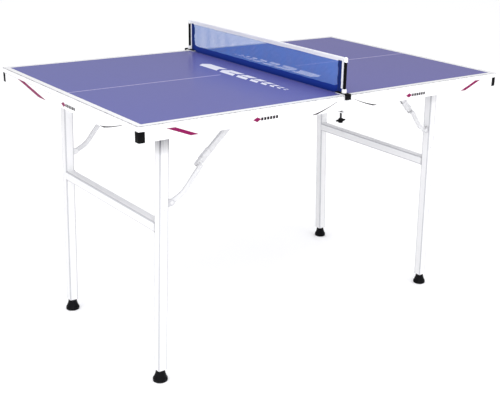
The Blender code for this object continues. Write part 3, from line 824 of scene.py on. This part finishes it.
def brace_brackets(paint, steel):
    """Under the board, a bracket and a rivet for each upper brace."""
    for side, end, _, _ in corners():
        x, _, z = brace_joint("upper", side)
        node = "brace_bracket_%s_%s" % (side, end)
        low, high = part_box("upper_brace_%s_%s" % (side, end))
        faces = (low.y - PLAY, high.y + PLAY)
        sheet_bracket(node + "_sheet", (x, z), RAIL_TOP, faces, 0.0085, paint, [node])
        shape = bmesh.new()
        for outward, face in ((1, faces[1] + SHEET), (-1, faces[0] - SHEET)):
            rivet(shape, (x, face, z), outward, 0.0052, 0.0020)
        shank = along_y((x, faces[0] - SHEET, z))
        turned(shape, [(0.003, 0.0), (0.003, faces[1] - faces[0] + 2 * SHEET)], shank, 20)
        piece("brace_rivet_%s_%s" % (side, end), shape, "top", steel)


def under_fittings(steel):
    """Plates across the middle joint, and the screws that hold the frame to the boards."""
    plate_y, plate_face, screw_gap = 0.18, BOARD_UNDER - 0.0020, 0.0093
    shape = bmesh.new()
    for y in (-plate_y, plate_y):
        outline = [(a, y + b) for a, b in rounded_rectangle(0.14, 0.030, 0.006)]
        prism(shape, outline, 2, plate_face, BOARD_UNDER - 0.0002)
    piece("joint_plates", shape, "top", steel, bevel=(0.0003, 2))

    places = []
    for y in (-HALF_WIDTH + HALF_TUBE, HALF_WIDTH - HALF_TUBE):
        places += [(x, y, RAIL_BOTTOM) for x in (-0.55, -0.34, -0.14, 0.14, 0.34, 0.55)]
    for x in (-HALF_LENGTH + HALF_TUBE, HALF_LENGTH - HALF_TUBE):
        places += [(x, y, RAIL_BOTTOM) for y in (-0.2, 0.0, 0.2)]
    for y in (-plate_y, plate_y):
        places += [(x, y, plate_face) for x in (-0.055, -0.022, 0.022, 0.055)]
    for side, end, inward, _ in corners():
        middle = leg_y(side, end)
        low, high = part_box("upper_brace_%s_%s" % (side, end))
        for y in (middle - HALF_TUBE - screw_gap, middle + HALF_TUBE + screw_gap):
            places.append((-inward * PIVOT_X, y, RAIL_BOTTOM - 0.0023))
        for y in (low.y - screw_gap, high.y + screw_gap):
            places.append((brace_joint("upper", side)[0], y, RAIL_TOP - SHEET))
    shape = bmesh.new()
    for place in places:
        cross_head_screw(shape, place)
    piece("frame_screws", shape, "top", steel, sharp=30)


# --- The leg frames --------------------------------------------------------------------------------

FOOT_HEIGHT = 0.033


def weld_bead(shape, y, facing, centre_z):
    """A rippled bead round a square tube's end where it meets a leg's face."""
    outline = rounded_rectangle(TUBE, TUBE, TUBE_RADIUS, 4)
    radius, total = 0.0022, 96
    rings = []
    for i in range(total):
        t = i / total * len(outline)
        first, second = outline[int(t) % len(outline)], outline[(int(t) + 1) % len(outline)]
        x, z = between(first, second, t - int(t))
        out = Vector((x, z)).normalized()
        grow = radius * (0.85 + 0.15 * math.sin(i * 2 * math.pi / 3))
        ring = []
        for a, b in arc((0, 0), 1.0, 0, 90, 5):
            away = grow * (1 - b)
            ring.append(Vector((x + out.x * away, y + facing * grow * (1 - a), centre_z + z + out.y * away)))
        ring.append(Vector((x * 0.96, y, centre_z + z * 0.96)))
        rings.append(ring)
    loft(shape, rings, closed=True)


def legs(paint, rail, steel, plastic):
    """The leg tubes with their ears, rivets and foot inserts, and the cross rails."""
    inside = TUBE - 2 * WALL - 0.0004
    bottom = -LEG_REACH + FOOT_HEIGHT
    for side in SIDES:
        body = "leg_frame_" + side
        for end, outward in ENDS.items():
            corner = "_%s_%s" % (side, end)
            matrix = leg_matrix(side, leg_y(side, end))
            shape = bmesh.new()
            rounded_tube(shape, 2, bottom, 0.010)
            piece("leg" + corner + "_tube", shape, body, paint, ["leg" + corner], matrix)
            leg_fittings(side, corner, outward, matrix, paint, steel)
            shape = bmesh.new()
            prism(shape, rounded_rectangle(inside, inside, 0.0012), 2, bottom + 0.0002, bottom + 0.022)
            piece("foot_insert" + corner, shape, body, plastic, matrix=matrix)
        cross_rail(side, body, rail)


def leg_fittings(side, corner, outward, matrix, paint, steel):
    """The ear on the leg that the lower brace turns on, its rivet, and the frame's bolt head."""
    inward = SIDES[side]
    body = "leg_frame_" + side
    x, _, z = brace_joint("lower", side)
    pivot = matrix.inverted() @ Vector((x, matrix.translation.y, z))
    near, far, thin = 0.0004, 0.0076, 0.0015
    inner, outer = near - thin, far + SHEET
    seat, rise = HALF_TUBE - 0.0004, 0.010
    outline = [(seat, -rise)] + arc((abs(pivot.x), 0.0), 0.0078, -90, 90, 12) + [(seat, rise)]
    outline = [(inward * a, pivot.z + b) for a, b in outline]
    shape = bmesh.new()
    for low, high in ((inner, near), (far, outer)):
        prism(shape, outline, 1, outward * low, outward * high)
    back = (inward * seat, outward * inner, pivot.z - rise)
    box(shape, back, (inward * (HALF_TUBE + 0.0010), outward * outer, pivot.z + rise))
    piece("brace_ear" + corner, shape, body, paint, matrix=matrix, bevel=(0.0003, 2))

    shape = bmesh.new()
    rivet(shape, (pivot.x, outward * outer, pivot.z), outward, 0.0054, 0.0020, (0.003, -0.0104, 0.0))
    bolt_head = along_y((0.0, outward * HALF_TUBE, cross_rail_height(side) + 0.050), outward)
    turned(shape, dome(0.0036, 0.0012), bolt_head, 20)
    piece("leg_rivets" + corner, shape, body, steel, matrix=matrix)


def cross_rail_height(side):
    """The cross rail's height in the leg's own coordinates."""
    low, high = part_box("cross_rail_" + side)
    return ((low.z + high.z) / 2 - PIVOT_Z) / math.cos(SPLAY)


def cross_rail(side, body, paint):
    """The tube between two legs, with a weld at each end."""
    node = "cross_rail_" + side
    low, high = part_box(node)
    matrix = leg_matrix(side, 0.0)
    z = cross_rail_height(side)
    shape = bmesh.new()
    rounded_tube(shape, 1, low.y, high.y, (0.0, z))
    piece(node + "_tube", shape, body, paint, [node], matrix)
    shape = bmesh.new()
    weld_bead(shape, low.y, 1, z)
    weld_bead(shape, high.y, -1, z)
    piece(node + "_welds", shape, body, paint, matrix=matrix, sharp=60)


def feet(rubber, steel):
    """Bell-shaped levelling feet with a gripping band, a rolled rim and a threaded stem."""
    top, steps = 0.0326, 12
    profile = [(0.0150, 0.0012), (0.0182, 0.0), (0.0192, 0.0008), (0.0195, 0.0022), (0.0195, 0.0070)]
    profile += [(0.0192, 0.0082), (0.0186, 0.0088)]
    for i in range(1, steps + 1):
        t = i / steps
        profile.append((0.0122 + 0.0064 * (1 - t) ** 1.9, 0.0090 + (top - 0.0105) * t))
    profile += [(0.0121, top - 0.0008), (0.0114, top), (0.0060, top)]
    for side, end, inward, _ in corners():
        node = "foot_%s_%s" % (side, end)
        matrix = leg_matrix(side, leg_y(side, end)) @ Matrix.Translation((0, 0, -LEG_REACH))
        shape = bmesh.new()
        turned(shape, profile, steps=56)
        for vert in shape.verts:
            if vert.co.z < 0.003:
                vert.co.z += inward * vert.co.x * math.tan(SPLAY)
        piece(node + "_bell", shape, node, rubber, [node], matrix, sharp=50)
        shape = bmesh.new()
        threaded_rod(shape, 0.0040, top - 0.001, top + 0.030)
        piece(node + "_stem", shape, node, steel, matrix=matrix, sharp=60)


# --- The braces ------------------------------------------------------------------------------------

LINK_BEND = (0.315, 0.094)
BEND_START, BEND_STOP = 0.28, 0.52
LINK_HALF = 0.006
LOWER_LAYER = (0.001, 0.007)
UPPER_LAYER = (-0.012, -0.002)
CHANNEL_LIFT = 0.002
CHANNEL_HALF = 0.007
SLEEVE_FROM_KNEE = 0.014
SLEEVE_LENGTH = 0.034


def smooth_bar(points, half):
    """The outline of a bar of even width along a curved middle line, with round ends."""
    left = offset(points, half)
    right = offset(points, -half)

    def end_cap(centre, first):
        start = math.degrees(math.atan2(first[1] - centre[1], first[0] - centre[0]))
        return arc(centre, half, start, start - 180, 12)[1:-1]

    return left + end_cap(points[-1], left[-1]) + right[::-1] + end_cap(points[0], right[0])


def link_path(length):
    """The lower link's middle line: two straight runs, with a soft bend near the leg."""
    along, bow = (share * length for share in LINK_BEND)
    start, corner, end = (0.0, 0.0), (along, -bow), (length, 0.0)
    before = between(start, corner, 0.62)
    after = between(corner, end, 0.22)
    points = []
    steps = 16
    for i in range(steps + 1):
        t = i / steps
        share = (t - BEND_START) / (BEND_STOP - BEND_START)
        if share < 0:
            points.append(between(start, before, t / BEND_START))
        elif share > 1:
            points.append(between(after, end, (t - BEND_STOP) / (1 - BEND_STOP)))
        else:
            points.append(between(between(before, corner, share), between(corner, after, share), share))
    return points


def lower_braces(paint):
    """The bowed flat links, each with its knee rivet."""
    for side, end, inward, outward in corners():
        length, _ = link_lengths(side)
        node = "lower_brace_%s_%s" % (side, end)
        body = "lower_braces_" + side
        matrix = brace_matrix("lower", side, end)
        outline = [(inward * a, b) for a, b in smooth_bar(link_path(length), LINK_HALF)]
        near, far = LOWER_LAYER
        shape = bmesh.new()
        prism(shape, outline, 1, outward * near, outward * far)
        piece(node + "_bar", shape, body, paint, [node], matrix, bevel=(0.0009, 3))
        shape = bmesh.new()
        rivet(shape, (inward * length, outward * far, 0.0), outward, 0.0048, 0.0018, (0.0030, -0.006, 0.0))
        piece("knee_rivet_%s_%s" % (side, end), shape, body, paint, matrix=matrix)


def channel_section(half, wall, bend, near, far):
    """A folded channel open downward, as (y, z) points with round folds."""
    outer = arc((far - bend, half - bend), bend, 0, 90, 4)
    outer += arc((near + bend, half - bend), bend, 90, 180, 4)
    inner_bend = max(bend - wall, 0.0003)
    inset = wall + inner_bend
    inner = arc((near + inset, half - inset), inner_bend, 180, 90, 4)
    inner += arc((far - inset, half - inset), inner_bend, 90, 0, 4)
    return [(far, -half)] + outer + [(near, -half), (near + wall, -half)] + inner + [(far - wall, -half)]


def upper_braces(paint):
    """The channel links, each with its lock sleeve and a washer at the knee."""
    near, far = UPPER_LAYER
    section = channel_section(CHANNEL_HALF, 0.0015, 0.0018, near, far)
    for side, end, inward, outward in corners():
        _, length = link_lengths(side)
        node = "upper_brace_%s_%s" % (side, end)
        body = "upper_braces_" + side
        matrix = brace_matrix("upper", side, end)
        shape = bmesh.new()
        channel(shape, [(outward * a, b + CHANNEL_LIFT) for a, b in section], inward, length)
        piece(node + "_channel", shape, body, paint, [node], matrix, sharp=50)
        lock_sleeve("lock_sleeve_%s_%s" % (side, end), inward, outward, matrix, length, paint)
        knee = along_y((-inward * length, outward * far, 0.0), outward)
        shape = bmesh.new()
        turned(shape, [(0.0052, -0.0006), (0.0052, 0.0008), (0.0035, 0.0010)], knee, 24)
        piece("knee_washer_%s_%s" % (side, end), shape, body, paint, matrix=matrix)


def channel(shape, section, inward, length):
    """The channel's walls, with both lower corners rounded about the pivots."""
    low = min(b for _, b in section)
    knee = [(-length - a, low + b) for a, b in arc((0, -low), -low, -90, 0, 6)]
    pivot = [(a, low + b) for a, b in arc((0, -low), -low, -90, 0, 6)]
    rings = []
    for place, floor in knee[::-1] + pivot:
        rings.append([Vector((inward * place, a, max(b, floor))) for a, b in section])
    loft(shape, rings)


def lock_sleeve(node, inward, outward, matrix, length, paint):
    """The sliding lock: a folded ring with rolled lips, round the upper link."""
    near, far = UPPER_LAYER
    wall, lip, edge, broken, slim = 0.0012, 0.0024, 0.0004, 0.97, 0.95
    width, height = far - near + 0.003, 2 * CHANNEL_HALF + 0.003
    outer = rounded_rectangle(width, height, 0.0022)
    inner = rounded_rectangle(width - 2 * wall, height - 2 * wall, 0.0011)
    centre = (outward * (near + far) / 2, CHANNEL_LIFT)
    start = length - SLEEVE_FROM_KNEE
    low, high = sorted((-inward * start, -inward * (start - SLEEVE_LENGTH)))
    sections = [
        (low, outer, broken),
        (low + edge, outer, 1),
        (low + lip, outer, 1),
        (low + lip * 1.3, outer, slim),
        (high - lip * 1.3, outer, slim),
        (high - lip, outer, 1),
        (high - edge, outer, 1),
        (high, outer, broken),
        (high, inner, 1),
        (low, inner, 1),
    ]
    shape = bmesh.new()
    rings = [ring_across(0, x, outline, centre, (scale, scale)) for x, outline, scale in sections]
    loft(shape, rings, closed=True)
    piece(node + "_ring", shape, node, paint, [node], matrix, sharp=40)


# --- The net ---------------------------------------------------------------------------------------

HEM = 0.018
SIDE_HEM = 0.014
BINDING = 0.0065
STRAND = (0.00046, 0.00023)
PITCH = 0.0033
STRANDS_FROM = 0.012
MESH_LOW = TOP_Z + 0.0004
MESH_HIGH = TAPE_LOW.z + 0.002
MESH_LEFT = NET_LOW.y + BINDING
MESH_RIGHT = NET_HIGH.y - BINDING


def net_mesh(yarn):
    """Knitted strands stretched between the hems, that pass before and behind each other."""
    foot = MESH_LOW + STRANDS_FROM
    rows = int((MESH_HIGH - foot) / PITCH)
    columns = int((MESH_RIGHT - MESH_LEFT) / PITCH)

    def knot(row, column, facing):
        """Where two strands cross, on one side of the net or the other."""
        y = MESH_LEFT + (MESH_RIGHT - MESH_LEFT) * column / columns
        z = foot + (MESH_HIGH - foot) * row / rows
        lean = wrinkle(y, (z - MESH_LOW) / (MESH_HIGH - MESH_LOW)) + facing * 0.0001 * (-1) ** (row + column)
        return Vector((lean, y, z))

    shape = bmesh.new()
    for row in range(rows + 1):
        sway = [Vector((0.0, 0.0, 0.0004 * math.sin(i * 0.9 + row))) for i in range(columns + 1)]
        flat_strand(shape, [knot(row, i, 1) + shift for i, shift in enumerate(sway)], 2)
    for column in range(columns + 1):
        sway = [Vector((0.0, 0.0003 * math.sin(i * 1.3 + column * 0.7), 0.0)) for i in range(rows + 1)]
        flat_strand(shape, [knot(i, column, -1) + shift for i, shift in enumerate(sway)], 1)
    return piece("net_strands", shape, "top", yarn, ["net_mesh"], sharp=180)


def wrinkle(y, t):
    """How far the net stands out of its plane: faint upright folds, none at the hems."""
    fold = 0.6 * math.sin(y * 118) + 0.4 * math.sin(y * 67 + 1.3)
    return 0.0009 * fold * math.sin(math.pi * min(1.0, max(0.0, t)))


def flat_strand(shape, points, across):
    """A strand with a four-sided section, deeper than it is wide, across Y or Z."""
    depth, half = STRAND
    rings = []
    for point in points:
        ring = []
        for a, b in ((1, 1), (-1, 1), (-1, -1), (1, -1)):
            corner = point + Vector((a * depth, 0.0, 0.0))
            corner[across] += b * half
            ring.append(corner)
        rings.append(ring)
    loft(shape, rings)


def run(low, high, steps):
    """Evenly spread places from low to high."""
    return [low + (high - low) * i / steps for i in range(steps + 1)]


def bottom_hem(cloth):
    """The doubled cloth along the net's foot, softly waved, lifted over the clamps' covers."""
    notch = COVER_LOW.y - 0.001
    highest = COVER_HIGH.z + 0.0006 - MESH_LOW
    shape = bmesh.new()
    for facing in (-1, 1):
        rings = []
        for y in run(MESH_LEFT, MESH_RIGHT, 240):
            lift = max(0.0, abs(y) - notch + 0.010)
            foot = MESH_LOW + min(lift * 0.5, highest)
            wave = 0.0004 * math.sin(y * 95) + 0.0002 * math.sin(y * 230 + 1.0)
            top = HEM + wave
            fold = 0.0009 + abs(wave) * 0.3
            section = [(0.0006, top), (0.0011, top - 0.0006), (0.0006 + fold * 0.6, HEM * 0.5)]
            section += [(0.0006 + fold, 0.001), (0.0009, 0.0), (0.00012, 0.0), (0.00012, top)]
            rings.append([Vector((facing * x, y, foot + z)) for x, z in section])
        loft(shape, rings)
    return piece("net_bottom_hem", shape, "top", cloth, sharp=60)


def side_hems(cloth):
    """The doubled cloth down each side of the net, with a waved inner edge."""
    shape = bmesh.new()
    for outward, edge in ((-1, MESH_LEFT), (1, MESH_RIGHT)):
        for facing in (-1, 1):
            rings = []
            for z in run(COVER_HIGH.z + 0.001, MESH_HIGH, 40):
                wave = 0.0011 * math.sin(z * 160 + outward) + 0.0006 * math.sin(z * 420)
                hem = SIDE_HEM + wave
                section = [(0.0008, hem), (0.0015, hem - 0.0008), (0.0016, 0.0), (0.0008, -0.0002)]
                rings.append([Vector((facing * x, edge - outward * y, z)) for x, y in section])
            loft(shape, rings)
    return piece("net_side_hems", shape, "top", cloth, sharp=60)


def side_bindings(cloth):
    """The rolled tapes down the net's two outer edges."""
    shape = bmesh.new()
    for outward, edge in ((-1, MESH_LEFT), (1, MESH_RIGHT)):
        centre = edge + outward * BINDING / 2
        rings = []
        for z in run(COVER_HIGH.z + 0.0105, MESH_HIGH, 30):
            bulge = 0.0016 + 0.0002 * math.sin(z * 300)
            width = BINDING / 2 + 0.0004
            oval = [(bulge * spot.y, centre + width * spot.x, z) for spot in circle(1.0, z, 12)]
            rings.append([Vector(point) for point in oval])
        loft(shape, rings)
    return piece("net_side_bindings", shape, "top", cloth, sharp=60)


def net_tape(cloth):
    """The folded tape over the net's head cord."""
    low = TAPE_LOW.z
    high = TAPE_HIGH.z
    crown = arc((0.0, high - 0.0021), 0.0020, 12, 168, 8)
    shape = bmesh.new()
    rings = []
    for y in run(-TAPE_HIGH.y, TAPE_HIGH.y, 200):
        pucker = 0.00018 * math.sin(y * 900) + 0.00022 * math.sin(y * 41)
        droop = 0.0004 * math.sin(y * 27)
        side = []
        for t, half in ((0.0, 0.0012), (0.2, 0.00125), (0.45, 0.0013), (0.62, 0.0018)):
            side.append((half + pucker, low + droop * (1 - t) + (high - low) * t))
        section = side + crown + [(-x, z) for x, z in reversed(side)]
        rings.append([Vector((x, y, z)) for x, z in section])
    loft(shape, rings)
    return piece("net_top_tape", shape, "top", cloth, ["net_tape"], sharp=60)


def tape_stitches(thread):
    """Two rows of stitches on each face of the tape."""
    reach = TAPE_HIGH.y
    stitch = 0.0034
    shape = bmesh.new()
    for level in (0.0022, 0.0066):
        for i in range(int(2 * reach / stitch)):
            y = -reach + stitch * (i + 0.2)
            for facing in (-1, 1):
                points = []
                for t in run(0.0, 1.0, 4):
                    out = 0.00135 + 0.00028 * math.sin(math.pi * t)
                    points.append(Vector((facing * out, y + stitch * 0.62 * t, TAPE_LOW.z + level)))
                tube_along(shape, points, 0.00020)
    return piece("net_tape_stitches", shape, "top", thread, sharp=80)


def posts(enamel, moulding):
    """The net's posts, and their domed caps."""
    for end, outward in ENDS.items():
        centre = Matrix.Translation((0, outward * POST_Y, 0))
        node = "net_post_" + end
        low, high = (corner.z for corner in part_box(node))
        profile = [(POST_RADIUS - 0.0004, low), (POST_RADIUS, low + 0.0005)]
        profile += [(POST_RADIUS, high - 0.0006), (POST_RADIUS - 0.0006, high)]
        shape = bmesh.new()
        turned(shape, profile, centre, 48)
        piece(node + "_rod", shape, "top", enamel, [node])
        cap = "post_cap_" + end
        low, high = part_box(cap)
        radius = (high.x - low.x) / 2
        slim = radius - 0.0005
        shoulder = high.z - 0.0030
        profile = [(POST_RADIUS + 0.0002, low.z), (radius - 0.0003, low.z), (radius, low.z + 0.0005)]
        profile += [(radius, low.z + 0.0022), (slim, low.z + 0.0027), (slim, shoulder)]
        profile += [(a, shoulder + b) for a, b in dome(slim, 0.0030, 8)[1:]]
        shape = bmesh.new()
        turned(shape, profile, centre, 48)
        piece(cap + "_moulding", shape, "top", moulding, [cap], sharp=45)


# --- The clamps ------------------------------------------------------------------------------------


def clamps(paint, plastic, pale, steel):
    for end, outward in ENDS.items():
        clamp_bracket(end, outward, paint)
        clamp_cover(end, outward, plastic)
        clamp_screw(end, plastic, pale, steel)


def reach_in_y(low, high):
    """How far from the middle a clamp's piece starts and ends."""
    return sorted((abs(low.y), abs(high.y)))


def clamp_bracket(end, outward, paint):
    """The C-shaped strip round the board and rail, with its post socket."""
    node = "clamp_bracket_" + end
    low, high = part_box(node)
    sheet, bend = 0.0025, 0.0012
    inner, outer = reach_in_y(low, high)
    outer -= sheet
    top, bottom = TOP_Z + 0.0003, low.z + sheet
    path = [(inner, top), (outer - bend, top)]
    path += arc((outer - bend, top - bend), bend, 90, 0, 4)[1:]
    path += [(outer, bottom + bend)]
    path += arc((outer - bend, bottom + bend), bend, 0, -90, 4)[1:]
    path += [(inner, bottom)]
    outline = path + offset(path, sheet)[::-1]
    shape = bmesh.new()
    prism(shape, [(outward * a, b) for a, b in outline], 0, low.x, high.x)
    piece(node + "_strip", shape, "top", paint, [node], bevel=(0.0005, 3))
    bore, seat = POST_RADIUS + 0.0002, top + sheet
    profile = [(bore, seat), (0.0065, seat), (0.0065, high.z - 0.0045), (0.0060, high.z - 0.0036)]
    profile += [(0.0056, high.z - 0.0005), (0.0052, high.z), (bore, high.z)]
    shape = bmesh.new()
    turned(shape, profile, Matrix.Translation((0, outward * POST_Y, 0)), 48, closed=True)
    piece("post_socket_" + end, shape, "top", paint, sharp=40)


def clamp_cover(end, outward, plastic):
    """The moulded cover over the clamp's top arm, with a thick rounded nose over the edge."""
    node = "clamp_cover_" + end
    low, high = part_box(node)
    inner, outer = reach_in_y(low, high)
    seat, wrap, nose = TOP_Z + 0.0031, outer - 0.008, 0.0030
    outline = [(inner, seat), (wrap, seat), (wrap, low.z + 0.0003)]
    outline += [(outer - 0.0006, low.z), (outer, low.z + 0.0012)]
    outline += arc((outer - nose, high.z - nose), nose, 0, 90, 6)
    outline += [(inner + 0.0010, high.z), (inner, high.z - 0.0008)]
    shape = bmesh.new()
    prism(shape, [(outward * a, b) for a, b in outline], 0, low.x, high.x)
    piece(node + "_moulding", shape, "top", plastic, [node], bevel=(0.0011, 4))


def wing_ring(half, t, y, bottom):
    """The wing's rounded section at a share t of its half length, thinner towards its tips."""
    lobe = math.cos(t * math.pi / 2) ** 2
    up = bottom + 0.0078 + 0.0042 * lobe + 0.0004 * abs(t) ** 3
    down = bottom + 0.0043 * (1 - lobe) + 0.0003
    width = 0.0034 - 0.0010 * abs(t)
    middle, height = (up + down) / 2, (up - down) / 2
    if abs(t) > 0.9:
        shrink = math.sqrt(max(0.0, 1 - ((abs(t) - 0.9) / 0.1) ** 2))
        height *= 0.25 + 0.75 * shrink
        width *= 0.45 + 0.55 * shrink
    ring = []
    for spot in arc((0, 0), 1.0, 0, 337.5, 15):
        a, b = (math.copysign(abs(part) ** 0.6, part) for part in spot)
        ring.append(Vector((half * t, y + width * a, middle + height * b)))
    return ring


def clamp_screw(end, plastic, pale, steel):
    """The wing grip moulded on its screw, and the pressure pad under the rail."""
    node = "clamp_screw_" + end
    pad = "clamp_pad_" + end
    low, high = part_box(node)
    y = (low.y + high.y) / 2
    centre = Matrix.Translation((0, y, 0))
    bottom, top = low.z, low.z + 0.012
    shape = bmesh.new()
    loft(shape, [wing_ring(high.x, t, y, bottom) for t in run(-1, 1, 28)])
    profile = [(0.0050, bottom), (0.0062, bottom + 0.0010), (0.0062, bottom + 0.0075)]
    turned(shape, profile + [(0.0052, top - 0.0006), (0.0046, top)], centre)
    piece(node + "_wing", shape, node, plastic, [node], sharp=50)
    shape = bmesh.new()
    threaded_rod(shape, 0.0030, top - 0.002, high.z, matrix=centre)
    piece("clamp_thread_" + end, shape, node, steel, sharp=60)
    low, high = (corner.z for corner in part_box(pad))
    profile = [(0.0058, low), (0.0070, low + 0.0003), (0.0075, low + 0.0010)]
    shape = bmesh.new()
    turned(shape, profile + [(0.0075, high - 0.0003), (0.0072, high)], centre)
    piece(pad + "_disc", shape, pad, pale, [pad], sharp=40)


# --- The studio ------------------------------------------------------------------------------------


def studio():
    """A wide pale floor, with soft light from above and dimmer air towards the horizon."""
    reach = 14.0
    shape = bmesh.new()
    bmesh.ops.create_grid(shape, x_segments=1, y_segments=1, size=reach)
    floor = linked("floor", meshed("floor", shape, floor_finish()))

    world = bpy.data.worlds.new("studio_light")
    bpy.context.scene.world = world
    world.use_nodes = True
    tree = world.node_tree
    background = tree.nodes["Background"]
    background.inputs["Color"].default_value = (0.985, 0.985, 1.0, 1.0)
    coordinates = tree.nodes.new("ShaderNodeTexCoord")
    split = tree.nodes.new("ShaderNodeSeparateXYZ")
    tree.links.new(coordinates.outputs["Generated"], split.inputs[0])
    height = Term(tree, split.outputs[2])
    strength = ((height - 0.35) * 2.4).held() * 1.07 + 0.34
    seen = Term(tree, tree.nodes.new("ShaderNodeLightPath").outputs["Is Camera Ray"])
    tree.links.new(strength.most(seen).socket, background.inputs["Strength"])
    lamp("key", (-1.6, -3.0, 3.2), (0.0, 0.0, 0.6), 2.6, 52.0)
    lamp("side", (-3.4, -0.6, 2.0), (0.0, 0.0, 0.5), 2.2, 20.0)
    lamp("fill", (1.2, -3.2, 1.0), (0.1, 0.0, 0.35), 2.2, 31.0, mirrored=False)
    lamp("low", (-2.6, -1.6, 0.55), (0.3, 0.0, 0.35), 1.8, 16.0, mirrored=False)


def lamp(name, place, target, size, power, mirrored=True):
    """A round soft lamp, which glossy surfaces may mirror or not."""
    light = bpy.data.lights.new(name, "AREA")
    light.shape = "DISK"
    light.size = size
    light.energy = power
    made = linked(name, light)
    made.location = place
    made.visible_glossy = mirrored
    made.rotation_euler = (Vector(target) - Vector(place)).to_track_quat("-Z", "Y").to_euler()


CAMERA_PLACE = (-1.5177, -2.0303, 1.2211)
CAMERA_YAW = math.radians(40.703)
CAMERA_PITCH = math.radians(21.379)
CAMERA_ROLL = math.radians(2.373)
CAMERA_LENS = 62.71
CAMERA_SHIFT = (-0.1242, 0.0603)


def camera():
    """The main view, level along its pitch and rolled a little."""
    level_reach = math.cos(CAMERA_PITCH)
    heading = (math.sin(CAMERA_YAW) * level_reach, math.cos(CAMERA_YAW) * level_reach)
    forward = Vector((*heading, -math.sin(CAMERA_PITCH)))
    level = forward.cross(Vector((0, 0, 1))).normalized()
    up = level.cross(forward)
    right = level * math.cos(CAMERA_ROLL) + up * math.sin(CAMERA_ROLL)
    up = up * math.cos(CAMERA_ROLL) - level * math.sin(CAMERA_ROLL)
    lens = bpy.data.cameras.new("camera")
    lens.lens = CAMERA_LENS
    lens.sensor_width = 36.0
    lens.shift_x, lens.shift_y = CAMERA_SHIFT
    lens.clip_end = 50.0
    made = linked("camera", lens)
    made.matrix_world = Matrix.Translation(CAMERA_PLACE) @ Matrix((right, up, -forward)).transposed().to_4x4()
    bpy.context.scene.camera = made


# --- The whole scene -------------------------------------------------------------------------------


def build():
    bpy.context.scene.view_settings.view_transform = "Standard"
    camera()
    studio()
    paint = painted("white_powder_coat")
    # The leg and cross rail paints hold painted shade: a darker white, grey on their corners, and grey below
    # the rail on the legs.
    leg_paint = painted("leg_powder_coat", LEG_SHADED_WHITE, marks=leg_marks)
    cross_rail_paint = painted("cross_rail_powder_coat", LEG_SHADED_WHITE, marks=cross_rail_marks)
    # The braces' paint is a darker white: painted shade.
    brace_paint = painted("brace_powder_coat", BRACE_SHADED_WHITE)
    plastic = black_moulding()
    pale = white_moulding()
    steel = zinc()
    oxide = black_oxide()
    boards(board_finish())
    rails(painted("rail_powder_coat", shine=0.15, marks=rail_marks))
    rail_joiners(steel)
    corner_caps(plastic)
    cross_tubes(paint, leg_paint, steel)
    brace_brackets(paint, steel)
    under_fittings(steel)
    feet(foot_rubber(), oxide)
    legs(leg_paint, cross_rail_paint, brace_paint, plastic)
    lower_braces(brace_paint)
    upper_braces(brace_paint)
    strands = net_mesh(spun("net_yarn", (0.022, 0.210, 0.70), (0.010, 0.130, 0.52), sheen=0.10))
    hem_cloth = woven("hem_cloth", (0.001, 0.030, 0.275), (0.001, 0.015, 0.175), 420.0, sheen=0.03)
    side_cloth = woven("side_hem_cloth", (0.001, 0.022, 0.170), (0.001, 0.010, 0.100), 420.0, sheen=0.03)
    tape_cloth = woven("tape_cloth", (0.88, 0.88, 0.89), (0.74, 0.74, 0.78), 520.0)
    hems = [bottom_hem(hem_cloth), side_hems(side_cloth), side_bindings(tape_cloth)]
    tape = net_tape(tape_cloth)
    stitches = tape_stitches(spun("stitch_thread", (0.88, 0.88, 0.89), (0.55, 0.55, 0.60), 1500.0))
    posts(black_enamel(), pale)
    clamps(paint, plastic, pale, oxide)


build()
